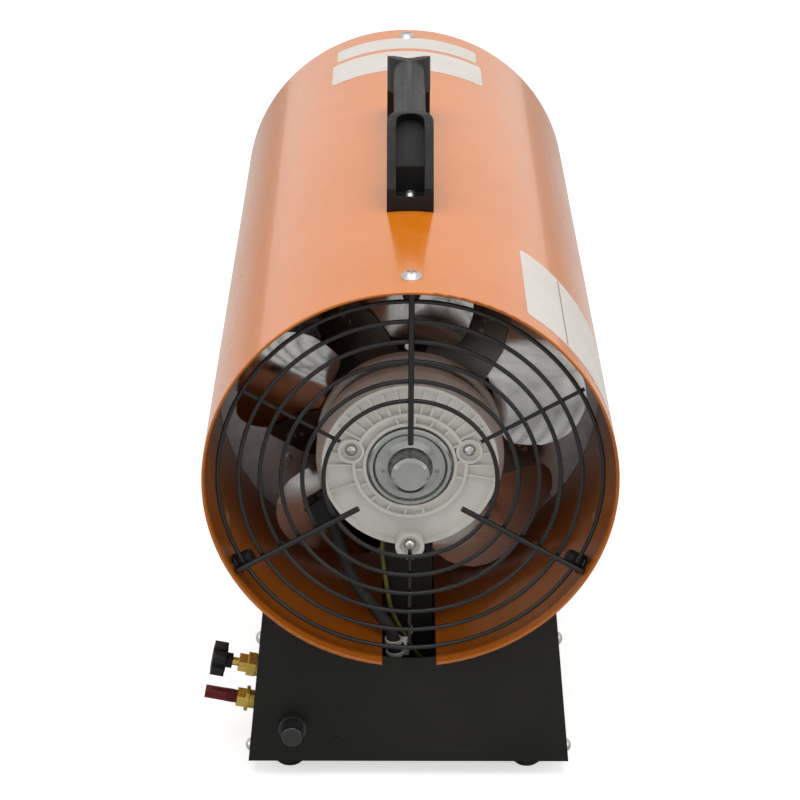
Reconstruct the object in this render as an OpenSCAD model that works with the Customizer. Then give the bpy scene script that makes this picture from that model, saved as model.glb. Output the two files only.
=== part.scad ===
// Portable gas forced air heater: a sheet tube on a sheet base, with an axial fan at the rear
// X is to the right seen from the rear, Y runs forward to the outlet and Z is up
// The origin is on the floor, under the middle of the casing

/* [Casing] */
// Outside diameter of the round casing
casing_diameter = 230; // [216:1:250]
// Length of the casing from rim to rim
casing_length = 500; // [470:1:560]
// Sheet thickness of the casing
casing_wall = 0.8; // [0.6:0.1:1.2]
// Length of the folded hem at each rim
hem_length = 6; // [4:0.5:10]
// Thickness of the folded hem
hem_thickness = 1.8; // [1.4:0.1:2.4]
// Width of the slot under the casing
slot_width = 31; // [29:0.5:36]
// Length of the slot from the rear rim
slot_length = 290; // [200:1:310]
// Height of the casing's axis over the floor
axis_height = 195.5; // [180:0.5:220]

/* [Guards] */
// Setback of the guard's rings from the rim
guard_setback = 8; // [5:0.5:12]
// Gap from the casing to the outer ring's centre line
guard_margin = 8.5; // [6:0.5:12]
// Radial pitch of the rings
guard_pitch = 11.7; // [9:0.1:14]
// Number of rings in the inlet guard
inlet_ring_count = 6; // [4:1:7]
// Number of rings in the outlet guard
outlet_ring_count = 4; // [3:1:6]
// Radial pitch of the rings at the outlet
outlet_pitch = 20; // [14:0.5:24]
// Diameter of the ring wire
ring_wire = 2.5; // [2:0.1:3]
// Diameter of the thick spokes
spoke_wire = 3.2; // [2.6:0.1:4]
// Diameter of the thin spokes
thin_wire = 2.2; // [1.8:0.1:2.6]
// Radius at which the top spoke ends
top_spoke_inner = 23; // [15:1:40]
// Radius at which the two lower thick spokes end
low_spoke_inner = 33; // [20:1:44]
// Setback of the top guard screw from the rim
top_screw_setback = 22.5; // [18:0.5:30]
// Setback of the two lower guard screws from the rim
low_screw_setback = 14.6; // [14.6:0.2:20]
// Setback of the outlet guard's screws from the front rim
front_screw_setback = 18; // [14:0.5:30]

/* [Screws] */
// Head diameter of the casing screws
casing_head = 11.8; // [9:0.1:13]
// Head height of the casing screws
casing_head_height = 3.2; // [2:0.1:4]
// Shank diameter of the casing screws
casing_shank = 5; // [4:0.1:6]
// Head diameter of the small sheet screws
sheet_head = 7.6; // [6:0.1:9]
// Head height of the small sheet screws
sheet_head_height = 2.4; // [1.6:0.1:3]
// Shank diameter of the small sheet screws
sheet_shank = 3.8; // [3:0.1:4.5]
// Radial clearance of a screw in its hole
screw_clearance = 0.2; // [0.1:0.05:0.4]

/* [Motor] */
// Setback of the motor's rear face from the rim
motor_setback = 25; // [22:0.5:40]
// Diameter of the motor at its mating faces
motor_diameter = 106; // [100:1:112]
// Diameter of the motor's rear face
motor_face_diameter = 99; // [92:1:100]
// Length of the rear end shield
rear_bell_length = 19; // [17:0.5:24]
// Length of the bare laminated stack
stack_length = 14; // [10:0.5:20]
// Length of the front end shield
front_bell_length = 14; // [12:0.5:18]
// Wall of the end shields
bell_wall = 3.2; // [2.5:0.1:4.5]
// Height of the rings and ribs on the rear end shield
rib_height = 2.6; // [1.5:0.1:3]
// Diameter of the bright bearing cap
bearing_cap_diameter = 47.5; // [44:0.5:48]
// Outside diameter of the two bearings
bearing_outer = 22; // [19:0.5:26]
// Width of the two bearings
bearing_width = 7; // [5:0.5:8]
// Diameter of the motor's shaft
shaft_diameter = 8; // [6:0.5:10]
// Head diameter of the motor bolts
bolt_head = 7.3; // [6:0.1:8]
// Shank diameter of the motor bolts
bolt_shank = 4; // [3:0.1:5]

/* [Fan] */
// Number of blades
blade_count = 5; // [4:1:5]
// Gap from the blade tips to the inside of the casing
tip_gap = 10.2; // [6:0.2:14]
// Setback of the blades' middle from the rim
blade_setback = 93; // [91:0.5:98]
// Mean pitch of the blades in degrees
blade_pitch = 21; // [16:0.5:24]
// Camber radius of the blades
blade_camber = 130; // [110:1:180]
// Sheet thickness of the blades
blade_sheet = 1; // [0.6:0.1:1.4]
// Sheet thickness of the spider arms
arm_sheet = 1.5; // [1:0.1:2]
// Diameter of the fan's hub
hub_diameter = 32; // [26:1:40]

/* [Heat section] */
// Setback of the baffle from the rear rim
baffle_setback = 130; // [128:1:134]
// Diameter of the air hole in the baffle
baffle_hole = 124; // [100:1:140]
// Sheet thickness of the baffle and the burner plate
plate_sheet = 1; // [0.8:0.1:1.5]
// Outside diameter of the combustion chamber
chamber_diameter = 176; // [160:1:184]
// Sheet thickness of the chamber
chamber_wall = 0.8; // [0.6:0.1:1.2]
// Setback of the chamber from the rear rim
chamber_setback = 152; // [150:1:160]
// Gap from the chamber to the front rim
chamber_margin = 30; // [26:1:60]
// Diameter of the burner plate
burner_diameter = 120; // [100:1:130]
// Diameter of the gas pipe
pipe_diameter = 8; // [6:0.5:9]

/* [Base] */
// Width of the base at its bottom
base_width = 187; // [180:1:205]
// Length of the base
base_length = 320; // [300:1:360]
// Setback of the base from the rear rim
base_setback = 10; // [6:1:14]
// Lean of the two sides in degrees
base_lean = 5.8; // [4.5:0.1:7]
// Sheet thickness of the base
base_sheet = 1.2; // [1:0.1:1.6]
// Diameter of the rubber feet
foot_diameter = 17.7; // [14:0.1:22]
// Height of the rubber feet
foot_height = 11; // [8:0.5:14]

/* [Handle] */
// Width of the handle's feet and legs
handle_width = 27; // [25:0.5:32]
// Width of the grip
grip_width = 19; // [16:0.5:22]
// Setback of the handle's rear face from the rim
handle_setback = 124; // [110:1:140]
// Length of the handle along the casing
handle_length = 191; // [185:1:220]
// Height of the grip's top over the casing
handle_height = 46; // [42:0.5:52]
// Thickness of the grip
grip_thickness = 18; // [15:0.5:20]

/* [Gas fittings] */
// Setback of the gas fittings from the rear rim
gas_setback = 45; // [38:0.5:60]
// Height of the valve's axis over the base's bottom, where it leaves the side
valve_rise = 43.8; // [40:0.5:48]
// Upward tilt of the gas fittings in degrees
gas_tilt = 11.5; // [9:0.5:14]
// Distance from the valve's axis down to the inlet's axis
inlet_drop = 23.5; // [21:0.5:25]
// Diameter of the valve's knob over its lobes
knob_diameter = 22.3; // [19:0.1:25]
// Thickness of the valve's knob
knob_thickness = 8.5; // [7:0.1:10]
// Diameter of the valve's spindle
spindle_diameter = 5; // [4:0.1:6]
// Outside diameter of the inlet's cap
cap_diameter = 7.8; // [7.4:0.1:9]
// Length of the inlet's cap
cap_length = 19; // [17:0.5:24]
// Outside diameter of the inlet's spigot
spigot_diameter = 5.6; // [5:0.1:6]

/* [Controls] */
// Distance of the igniter button from the middle, to the left
button_offset = 67.3; // [60:0.5:70]
// Height of the igniter button over the base's bottom
button_rise = 24; // [18:0.5:30]
// Diameter of the igniter's collar
collar_diameter = 16.5; // [15.5:0.1:20]
// Diameter of the igniter button
button_diameter = 12.4; // [10:0.1:12.6]
// Travel of the igniter button
button_travel = 5; // [3:0.5:6]
// Setback of the mains switch from the rear rim
switch_setback = 150; // [120:1:170]
// Setback of the mains gland from the rear rim
gland_setback = 190; // [180:1:220]
// Height of the switch and the gland over the base's bottom
electric_rise = 36; // [28:1:44]
// Diameter of the mains cable's hole in the gland
cable_hole = 8; // [6:0.5:9]

/* [Hidden] */

$fn = 64;
overrun = 1;
seat = 0.05;
running = 0.05;

casing_radius = casing_diameter / 2;
casing_inner = casing_radius - casing_wall;
motor_radius = motor_diameter / 2;
stack_setback = motor_setback + rear_bell_length;
front_bell_setback = stack_setback + stack_length;
motor_end = front_bell_setback + front_bell_length;
base_drop = axis_height - foot_height;
shaft_radius = shaft_diameter / 2;
chamber_length = casing_length - chamber_setback - chamber_margin;
top_turn = 90;
low_left_turn = 210;
low_right_turn = 330;
quarter = 90;

// Frames and helpers

// Local Z runs forward along the casing's axis from a setback behind the rear rim
module along(setback) {
  translate([0, setback - casing_length / 2, axis_height])
    rotate([-quarter, 0, 0]) children();
}

// Turns what is drawn on the right to a clock angle, anticlockwise seen from the rear
module clock(turn) {
  rotate([0, 0, -turn]) children();
}

// Local Z points outwards at a clock angle, from a radius, and local Y points rearwards
module radial(turn, radius, setback) {
  along(setback) clock(turn) translate([radius, 0, 0]) rotate([0, quarter, 0]) children();
}

// Extrudes an outline drawn in X and Z, measured from the casing's axis
module slab(setback, depth) {
  translate([0, setback + depth - casing_length / 2, axis_height])
    rotate([quarter, 0, 0]) linear_extrude(height = depth) children();
}

// Extrudes an outline drawn in Y and Z, measured from the rear rim and the axis
module side_slab(width) {
  translate([-width / 2, -casing_length / 2, axis_height])
    rotate([quarter, 0, quarter]) linear_extrude(height = width) children();
}

// Cuts a round hole from zero up to a depth, open at both ends
module bore(radius, depth) {
  translate([0, 0, -overrun]) cylinder(r = radius, h = depth + 2 * overrun);
}

// A ring with a square section
module ring(outer, inner, height) {
  difference() {
    cylinder(r = outer, h = height);
    bore(inner, height);
  }
}

// A hexagon with its size over the flats
module hexagon(flats, height) {
  cylinder(r = flats / 2 / cos(30), h = height, $fn = 6);
}

// A domed screw that points down, with its head above zero
module dome_screw(head, head_height, shank, length) {
  dome = (head * head / 4 + head_height * head_height) / (2 * head_height);
  difference() {
    intersection() {
      cylinder(r = head / 2, h = head_height);
      translate([0, 0, head_height - dome]) sphere(r = dome);
    }
    for (turn = [0, quarter])
      rotate([0, 0, turn])
        translate([-head / 4, -head / 16, head_height * 0.6])
          cube([head / 2, head / 8, head_height]);
  }
  translate([0, 0, -length]) cylinder(r = shank / 2, h = length + overrun / 4);
}

// Rounded outline from corners given as X, Y and radius, in anticlockwise order
corner_steps = 8;
function edge_turn(a, b) =
  let (d = [b[0] - a[0], b[1] - a[1]])
  atan2(d[1], d[0]) - acos((a[2] - b[2]) / norm(d));
function corner_arc(corner, from, to) =
  let (sweep = (to - from + 8 * quarter) % (4 * quarter))
  [for (i = [0:corner_steps]) [corner[0], corner[1]]
    + corner[2] * [cos(from + sweep * i / corner_steps), sin(from + sweep * i / corner_steps)]];
module rounded_outline(corners) {
  count = len(corners);
  polygon([for (i = [0:count - 1])
    let (last = corners[(i + count - 1) % count], next = corners[(i + 1) % count])
    each corner_arc(corners[i], edge_turn(last, corners[i]), edge_turn(corners[i], next))]);
}

// Tube swept along a smooth route through points chosen by hand
function lead_in(p) = concat([2 * p[0] - p[1]], p, [2 * p[len(p) - 1] - p[len(p) - 2]]);
function spline(a, b, c, d, t) =
  (2 * b + (c - a) * t + (2 * a - 5 * b + 4 * c - d) * t * t
  + (3 * b - a - 3 * c + d) * t * t * t) / 2;
function smooth_route(route, steps) =
  let (p = lead_in(route), last = len(route) - 1)
  [for (i = [0:last]) for (s = [0:(i < last ? steps - 1 : 0)])
    i < last ? spline(p[i], p[i + 1], p[i + 2], p[i + 3], s / steps) : route[last]];
function unit(v) = v / norm(v);
function route_tangents(p) =
  [for (i = [0:len(p) - 1]) unit(p[min(i + 1, len(p) - 1)] - p[max(i - 1, 0)])];
function carry(n, t) = unit(n - (n * t) * t);
function route_normals(t, i, n) =
  i >= len(t) ? [] : let (m = carry(n, t[i])) concat([m], route_normals(t, i + 1, m));
module swept_tube(route, radius, sides, steps) {
  path = smooth_route(route, steps);
  tangents = route_tangents(path);
  start = abs(tangents[0][0]) < 0.9 ? [1, 0, 0] : [0, 1, 0];
  normals = route_normals(tangents, 0, start);
  rings = len(path);
  points = [for (i = [0:rings - 1]) for (j = [0:sides - 1])
    path[i] + radius * (cos(360 * j / sides) * normals[i]
    + sin(360 * j / sides) * cross(tangents[i], normals[i]))];
  near = [for (i = [0:rings - 2]) for (j = [0:sides - 1])
    [i * sides + j, (i + 1) * sides + j, (i + 1) * sides + (j + 1) % sides]];
  far = [for (i = [0:rings - 2]) for (j = [0:sides - 1])
    [i * sides + j, (i + 1) * sides + (j + 1) % sides, i * sides + (j + 1) % sides]];
  first_cap = [[for (j = [0:sides - 1]) j]];
  last_cap = [[for (j = [0:sides - 1]) (rings - 1) * sides + sides - 1 - j]];
  translate([0, -casing_length / 2, axis_height])
    polyhedron(points = points, faces = concat(near, far, first_cap, last_cap));
}

// Casing

// Turn and setback of each casing screw, with the guard fixing that it holds
rear_fixings = [
  [top_turn, top_screw_setback],
  [low_left_turn, low_screw_setback],
  [low_right_turn, low_screw_setback]
];
front_fixings = [for (turn = [top_turn, low_left_turn, low_right_turn])
  [turn, casing_length - front_screw_setback]];
handle_screw_inset = 15;
handle_screws_at = [
  handle_setback + handle_screw_inset,
  handle_setback + handle_length - handle_screw_inset
];
handle_hole = 4.6;
saddle_turn = 48;
saddle_turns = [-saddle_turn, saddle_turn - 2 * quarter];
saddle_screw_setbacks = [
  base_setback + base_length * 0.25,
  base_setback + base_length * 0.75
];

module rim_profile() {
  translate([casing_radius - hem_thickness, hem_thickness / 2])
    square([hem_thickness, hem_length - hem_thickness / 2]);
  translate([casing_radius - hem_thickness / 2, hem_thickness / 2])
    circle(r = hem_thickness / 2);
}

module casing() {
  color("darkorange")
  difference() {
    along(0) rotate_extrude($fn = 128) {
      translate([casing_inner, hem_thickness / 2])
        square([casing_wall, casing_length - hem_thickness]);
      rim_profile();
      translate([0, casing_length]) mirror([0, 1]) rim_profile();
    }
    translate([-slot_width / 2, -casing_length / 2 - overrun, 0])
      cube([slot_width, slot_length + overrun, axis_height]);
    for (at = concat(rear_fixings, front_fixings))
      radial(at[0], casing_inner - overrun, at[1])
        cylinder(r = casing_shank / 2 + screw_clearance, h = casing_wall + 2 * overrun);
    for (setback = handle_screws_at)
      radial(top_turn, casing_inner - overrun, setback)
        cylinder(r = handle_hole / 2, h = casing_wall + 2 * overrun);
    for (turn = saddle_turns, setback = saddle_screw_setbacks)
      radial(turn, casing_inner - overrun, setback)
        cylinder(r = sheet_shank / 2 + screw_clearance, h = casing_wall + 2 * overrun);
  }
}

// Nuts, eyes and screws of the guards
nut_diameter = 10;
nut_height = 5;
nut_dome = 3;
eye_inner = casing_shank / 2 + screw_clearance;
eye_radius = eye_inner + spoke_wire / 2;
eye_seat = casing_radius - hem_thickness - spoke_wire / 2 - seat;
nut_seat = eye_seat - spoke_wire / 2 - seat;

module casing_screws() {
  color("silver")
  for (at = concat(rear_fixings, front_fixings))
    radial(at[0], casing_radius + seat, at[1])
      dome_screw(casing_head, casing_head_height, casing_shank,
        casing_radius + seat - nut_seat + nut_height - seat);
}

module guard_nut() {
  difference() {
    union() {
      translate([0, 0, -nut_height]) cylinder(r = nut_diameter / 2, h = nut_height);
      translate([0, 0, -nut_height]) intersection() {
        translate([0, 0, -nut_dome]) cylinder(r = nut_diameter / 2, h = 2 * nut_dome);
        sphere(r = nut_diameter / 2);
      }
    }
    translate([0, 0, -nut_height + seat / 2])
      cylinder(r = casing_shank / 2 + running, h = nut_height + overrun);
  }
}

module guard_nuts() {
  color("black")
  for (at = concat(rear_fixings, front_fixings))
    radial(at[0], nut_seat, at[1]) guard_nut();
}

// Inlet and outlet guards

weld_sink = 0.35;
ring_radii = [for (i = [0:inlet_ring_count - 1])
  casing_radius - guard_margin - i * guard_pitch];
outlet_radii = [for (i = [0:outlet_ring_count - 1])
  casing_radius - guard_margin - i * outlet_pitch];
spoke_step = ring_wire / 2 + spoke_wire / 2 - weld_sink;
thin_step = ring_wire / 2 + thin_wire / 2 - weld_sink;

module wire_ring(radius) {
  rotate_extrude($fn = 96) translate([radius, 0]) circle(r = ring_wire / 2, $fn = 24);
}

// A thick spoke from a radius to the wall, with its leg and eye at a depth beyond the rings
module thick_spoke(turn, inner, depth) {
  clock(turn) {
    translate([inner, 0, -spoke_step]) rotate([0, quarter, 0])
      cylinder(r = spoke_wire / 2, h = eye_seat - inner, $fn = 32);
    translate([eye_seat, 0, -spoke_step]) sphere(r = spoke_wire / 2, $fn = 32);
    translate([eye_seat, 0, -spoke_step])
      cylinder(r = spoke_wire / 2, h = depth + spoke_step - eye_radius, $fn = 32);
    translate([eye_seat, 0, depth]) rotate([0, quarter, 0])
      rotate_extrude($fn = 48) translate([eye_radius, 0])
        circle(r = spoke_wire / 2, $fn = 24);
  }
}

module thin_spoke(turn, inner, outer) {
  clock(turn) translate([inner, 0, thin_step]) rotate([0, quarter, 0])
    cylinder(r = thin_wire / 2, h = outer - inner, $fn = 32);
}

module inlet_guard() {
  thin_inner = ring_radii[inlet_ring_count - 1] - ring_wire * 1.3;
  color("black")
  along(guard_setback) {
    for (radius = ring_radii)
      wire_ring(radius);
    thick_spoke(top_turn, top_spoke_inner, top_screw_setback - guard_setback);
    thick_spoke(low_left_turn, low_spoke_inner, low_screw_setback - guard_setback);
    thick_spoke(low_right_turn, low_spoke_inner, low_screw_setback - guard_setback);
    for (turn = [top_turn, low_left_turn, low_right_turn])
      thin_spoke(turn + 2 * quarter, thin_inner, ring_radii[0] + ring_wire);
  }
}

module outlet_guard() {
  inner = outlet_radii[outlet_ring_count - 1] - outlet_pitch;
  color("black")
  along(casing_length - guard_setback) mirror([0, 0, 1]) {
    for (radius = outlet_radii)
      wire_ring(radius);
    for (turn = [top_turn, low_left_turn, low_right_turn])
      thick_spoke(turn, inner, front_screw_setback - guard_setback);
  }
}

// Motor

face_recess = rib_height;
cap_flange = 1.5;
cap_seat_radius = 24;
bolt_recess = 11.6;
bolt_boss = 15;
bolt_offset = 33;
bolt_rise = 9;
lug_drop = 48;
lug_width = 16.5;
lug_height = 5;
upper_bolts = [[bolt_offset, bolt_rise], [-bolt_offset, bolt_rise]];
lower_bolt = [0, -lug_drop];
ring_rib = 2;
ring_rib_radii = [26.5, 32.5];
rib_sheet = 1.3;
rib_step = 10;
first_rib = -70;
last_rib = 200;
bell_cup = motor_radius - bell_wall;
stack_radius = lug_drop - bolt_shank / 2 - screw_clearance;
bearing_bore = bearing_outer / 2 + seat / 2;
boss_wall = 3;

// Places what is drawn upright at a point X, Z of the motor's face
module face_point(at) {
  translate([at[0], -at[1], 0]) children();
}

module rear_bell_profile() {
  face = motor_face_diameter / 2;
  polygon([
    [bearing_bore - boss_wall, face_recess],
    [face - ring_rib, face_recess],
    [face - ring_rib, 0],
    [face, 0],
    [motor_radius, rear_bell_length * 0.66],
    [motor_radius, rear_bell_length],
    [bell_cup, rear_bell_length],
    [bell_cup, face_recess + bell_wall + boss_wall],
    [bell_cup - boss_wall, face_recess + bell_wall],
    [bearing_bore + boss_wall, face_recess + bell_wall],
    [bearing_bore + boss_wall, bearing_width + face_recess],
    [bearing_bore - boss_wall, bearing_width + face_recess]
  ]);
}

module motor_rear_bell() {
  color("ivory")
  along(motor_setback) difference() {
    union() {
      rotate_extrude($fn = 96) rear_bell_profile();
      for (radius = ring_rib_radii)
        ring(radius, radius - ring_rib, face_recess + overrun);
      intersection() {
        ring(motor_face_diameter / 2 - overrun, ring_rib_radii[1] - overrun,
          face_recess + overrun);
        for (turn = [first_rib:rib_step:last_rib])
          clock(turn) translate([0, -rib_sheet / 2, rib_height * 0.2])
            cube([motor_radius, rib_sheet, face_recess + overrun]);
      }
      intersection() {
        ring(ring_rib_radii[1] - overrun, ring_rib_radii[0] - overrun,
          face_recess + overrun);
        for (turn = [0:2 * rib_step:360 - rib_step])
          clock(turn + rib_step / 2) translate([0, -rib_sheet / 2, rib_height * 0.2])
            cube([motor_radius, rib_sheet, face_recess + overrun]);
      }
      for (at = upper_bolts)
        face_point(at)
          cylinder(r = bolt_boss / 2, h = face_recess + bell_wall);
      face_point(lower_bolt) translate([0, 0, -lug_height])
        cylinder(r = lug_width / 2, h = lug_height + rear_bell_length);
    }
    translate([0, 0, face_recess - overrun])
      cylinder(r = bearing_bore, h = overrun + bearing_width - boss_wall / 2);
    translate([0, 0, -overrun])
      cylinder(r = shaft_radius + boss_wall, h = rear_bell_length + overrun);
    for (at = upper_bolts)
      face_point(at) {
        translate([0, 0, -overrun])
          cylinder(r = bolt_recess / 2, h = overrun + rib_height * 0.9);
        bore(bolt_shank / 2 + screw_clearance, rear_bell_length);
      }
    face_point(lower_bolt) {
      translate([0, 0, -lug_height - overrun])
        cylinder(r = bolt_recess / 2, h = overrun + rib_height);
      translate([0, 0, -lug_height - overrun])
        cylinder(r = bolt_shank / 2 + screw_clearance,
          h = lug_height + rear_bell_length + 2 * overrun);
    }
  }
}

cap_rise = 13;
module bearing_cap() {
  edge = bearing_cap_diameter / 2;
  boss = bearing_cap_diameter * 0.265;
  tip = bearing_cap_diameter * 0.184;
  color("gainsboro")
  along(motor_setback - cap_flange) difference() {
    rotate_extrude($fn = 96) {
      polygon([
        [0, -cap_rise + cap_flange],
        [tip, -cap_rise + cap_flange],
        [tip * 1.22, -cap_rise + cap_flange * 1.8],
        [boss, -cap_flange * 0.4],
        [boss * 1.3, cap_flange * 0.4],
        [edge * 0.82, cap_flange * 0.4],
        [edge * 0.88, -cap_flange * 0.5],
        [edge * 0.95, -cap_flange * 0.5],
        [edge, 0],
        [edge, cap_flange - seat],
        [0, cap_flange - seat]
      ]);
    }
    translate([0, 0, -cap_rise * 0.6]) cylinder(r = shaft_radius + boss_wall, h = cap_rise);
  }
}

rear_bearing_setback = motor_setback + face_recess - overrun;
front_bearing_setback = motor_end - bearing_width;

module bearing() {
  rotate_extrude($fn = 64) difference() {
    translate([shaft_radius + running / 2, 0])
      square([bearing_outer / 2 - shaft_radius - running / 2, bearing_width - boss_wall / 2]);
    for (end = [-1, 1])
      translate([bearing_outer / 4 + shaft_radius / 2,
        (bearing_width - boss_wall / 2) * (1 + end) / 2])
        circle(r = bearing_width / 6, $fn = 24);
  }
}

module motor_bearings() {
  color("silver") {
    along(rear_bearing_setback) bearing();
    along(front_bearing_setback + boss_wall / 2) bearing();
  }
}

air_gap = 0.6;
rotor_radius = stack_radius * 0.55;
module motor_stator() {
  color("dimgray")
  along(stack_setback) difference() {
    ring(stack_radius, rotor_radius + air_gap, stack_length);
    for (at = upper_bolts)
      face_point(at) bore(bolt_shank / 2 + screw_clearance, stack_length);
  }
}

winding_height = 6;
module winding() {
  middle = bolt_offset - bolt_shank / 2 - screw_clearance - winding_height / 2 - air_gap;
  rotate_extrude($fn = 64) {
    translate([middle, winding_height / 2]) circle(r = winding_height / 2, $fn = 32);
    translate([middle - winding_height / 2, 0]) square([winding_height, winding_height / 2]);
  }
}

module motor_windings() {
  color("peru") {
    along(front_bell_setback) winding();
    along(stack_setback) mirror([0, 0, 1]) winding();
  }
}

module front_bell_profile() {
  face = motor_face_diameter / 2;
  polygon([
    [bell_cup, 0],
    [motor_radius, 0],
    [motor_radius, front_bell_length * 0.4],
    [face, front_bell_length],
    [bearing_bore - boss_wall, front_bell_length],
    [bearing_bore - boss_wall, front_bell_length - bearing_width],
    [bearing_bore + boss_wall, front_bell_length - bearing_width],
    [bearing_bore + boss_wall, front_bell_length - bell_wall],
    [bell_cup - boss_wall, front_bell_length - bell_wall],
    [bell_cup, front_bell_length - bell_wall - boss_wall]
  ]);
}

module motor_front_bell() {
  color("ivory")
  along(front_bell_setback) difference() {
    union() {
      rotate_extrude($fn = 96) front_bell_profile();
      intersection() {
        face_point(lower_bolt) cylinder(r = lug_width / 2, h = front_bell_length);
        cylinder(r = motor_radius, h = front_bell_length, $fn = 96);
      }
    }
    translate([0, 0, front_bell_length - bearing_width - overrun])
      cylinder(r = bearing_bore, h = overrun + bearing_width);
    for (at = concat(upper_bolts, [lower_bolt]))
      face_point(at) bore(bolt_shank / 2 + screw_clearance, front_bell_length);
  }
}

bolt_head_height = 3;
tab_sheet = 1.5;
module motor_bolt(at, start, finish) {
  along(start) face_point(at) mirror([0, 0, 1])
    dome_screw(bolt_head, bolt_head_height, bolt_shank, finish - start);
  along(finish - bolt_head_height) face_point(at)
    ring_nut(bolt_head, bolt_shank, bolt_head_height);
}

module ring_nut(flats, hole, height) {
  difference() {
    hexagon(flats, height);
    bore(hole / 2 - seat, height);
  }
}

module motor_screws() {
  color("silver") {
    for (at = upper_bolts)
      motor_bolt(at, motor_setback + rib_height * 0.9 - seat,
        motor_end + seat + bolt_head_height);
    motor_bolt(lower_bolt, motor_setback - lug_height + rib_height - seat,
      motor_end + seat + tab_sheet + bolt_head_height);
  }
}

// Bracket under the motor, with its leg through the slot
cradle_turn = 42;
slot_play = 2;
leg_width = slot_width - 2 * slot_play;
leg_flange = 16;
leg_setback = stack_setback + leg_flange * 0.4;
foot_plate = 30;
tab_half = lug_width / 2;
rivet_diameter = 4;
leg_screws = [-leg_width * 0.28, leg_width * 0.28];

module motor_bracket() {
  mid = motor_radius + seat + tab_sheet / 2;
  base_floor = -base_drop + base_sheet + seat;
  band_setback = stack_setback + seat;
  band_length = motor_end + seat + tab_sheet - band_setback;
  foot_hole = leg_setback + foot_plate * 0.72 - casing_length / 2;
  color("black") difference() {
    union() {
      along(band_setback) clock(-quarter + cradle_turn)
        rotate_extrude(angle = 2 * cradle_turn, $fn = 96)
          translate([motor_radius + seat, 0]) square([tab_sheet, band_length]);
      slab(leg_setback, leg_flange) difference() {
        translate([-leg_width / 2, base_floor]) square([leg_width, -base_floor - bell_cup]);
        translate([tab_sheet - leg_width / 2, base_floor - overrun])
          square([leg_width - 2 * tab_sheet, 2 * overrun - base_floor]);
        circle(r = mid, $fn = 96);
      }
      slab(leg_setback, tab_sheet) difference() {
        translate([-leg_width / 2, base_floor]) square([leg_width, -base_floor - bell_cup]);
        circle(r = mid, $fn = 96);
      }
      slab(leg_setback, foot_plate)
        translate([-leg_width / 2, base_floor]) square([leg_width, tab_sheet]);
      slab(motor_end + seat, tab_sheet)
        translate([-tab_half, -mid]) square([2 * tab_half, mid - lug_drop + tab_half]);
    }
    along(motor_end) face_point(lower_bolt)
      cylinder(r = bolt_shank / 2 + screw_clearance, h = 2 * tab_sheet);
    for (x = leg_screws)
      translate([x, foot_hole, foot_height])
        cylinder(r = rivet_diameter / 2 + screw_clearance, h = foot_plate / 2);
  }
}

shaft_tip = 2.5;
module motor_shaft() {
  start = motor_setback + cap_flange - cap_rise * 0.5;
  finish = blade_depth(0) + hub_length * 0.6 + hub_neck + nut_thickness + shaft_tip;
  color("silver") along(start) cylinder(r = shaft_radius, h = finish - start);
}

module motor_rotor() {
  color("slategray") along(stack_setback)
    ring(rotor_radius, shaft_radius + running / 2, stack_length);
}

// Fan

blade_tip = casing_inner - tip_gap;
blade_middle_share = 0.034;
blade_corner_shares = [
  [0.5625, -0.2115, 0.0865],
  [0.7115, -0.0577, 0.2885],
  [0.803, 0.284, 0.125],
  [0.577, 0.231, 0.077]
];
hub_share = hub_diameter / 2 / blade_tip;
arm_corner_shares = [
  [1.3 * hub_share, -0.04, 0.06],
  [0.57, 0.25, 0.055],
  [0.65, 0.385, 0.06],
  [0.44, 0.46, 0.06],
  [1.04 * hub_share, 0.2, 0.06]
];
rivet_shares = [[0.6, 0.37], [0.56, 0.365], [0.53, 0.33]];
blade_chord_share = 0.75;
first_blade = 18;
rivet_head = 3;
rivet_head_height = 0.8;

// Centre of the camber circle, as the tangential offset and the setback
camber_reach = sqrt(blade_camber * blade_camber - pow(blade_tip * blade_chord_share / 2, 2));
camber_centre = [
  blade_tip * blade_middle_share - camber_reach * sin(blade_pitch),
  blade_setback + camber_reach * cos(blade_pitch)
];
function blade_depth(t) =
  camber_centre[1] - sqrt(pow(blade_camber, 2) - pow(t - camber_centre[0], 2));

// Turns children to each blade's place, with X outwards and Y towards the leading edge
module each_blade() {
  along(0) for (i = [0:blade_count - 1])
    clock(first_blade + i * 360 / blade_count) children();
}

// Curved sheet between two camber radii, inside an outline in shares of the tip radius
module pressed_sheet(outer, inner, corner_shares) {
  reach = 1.2 * blade_tip;
  intersection() {
    translate([0, -camber_centre[0], camber_centre[1]]) rotate([0, quarter, 0])
      difference() {
        cylinder(r = outer, h = reach, $fn = 128);
        translate([0, 0, -overrun])
          cylinder(r = inner, h = reach + 2 * overrun, $fn = 128);
      }
    mirror([0, 1, 0])
      linear_extrude(height = camber_centre[1])
        rounded_outline(corner_shares * blade_tip);
  }
}

module fan_blades() {
  color("lightgray") each_blade()
    intersection() {
      pressed_sheet(blade_camber, blade_camber - blade_sheet, blade_corner_shares);
      cylinder(r = blade_tip, h = camber_centre[1], $fn = 128);
    }
}

hub_length = 20;
hub_neck = 5;
module fan_spider() {
  hub_start = blade_depth(0) - hub_length * 0.4;
  color("dimgray") {
    difference() {
      union() {
        each_blade()
          pressed_sheet(blade_camber + seat + arm_sheet, blade_camber + seat,
            arm_corner_shares);
        along(hub_start) cylinder(r = hub_diameter / 2, h = hub_length);
        along(hub_start - hub_neck)
          cylinder(r = hub_diameter * 0.32, h = hub_length + 2 * hub_neck);
      }
      along(hub_start - hub_neck - overrun)
        cylinder(r = shaft_radius + running / 2, h = hub_length + 2 * hub_neck + 2 * overrun);
    }
  }
}

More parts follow.
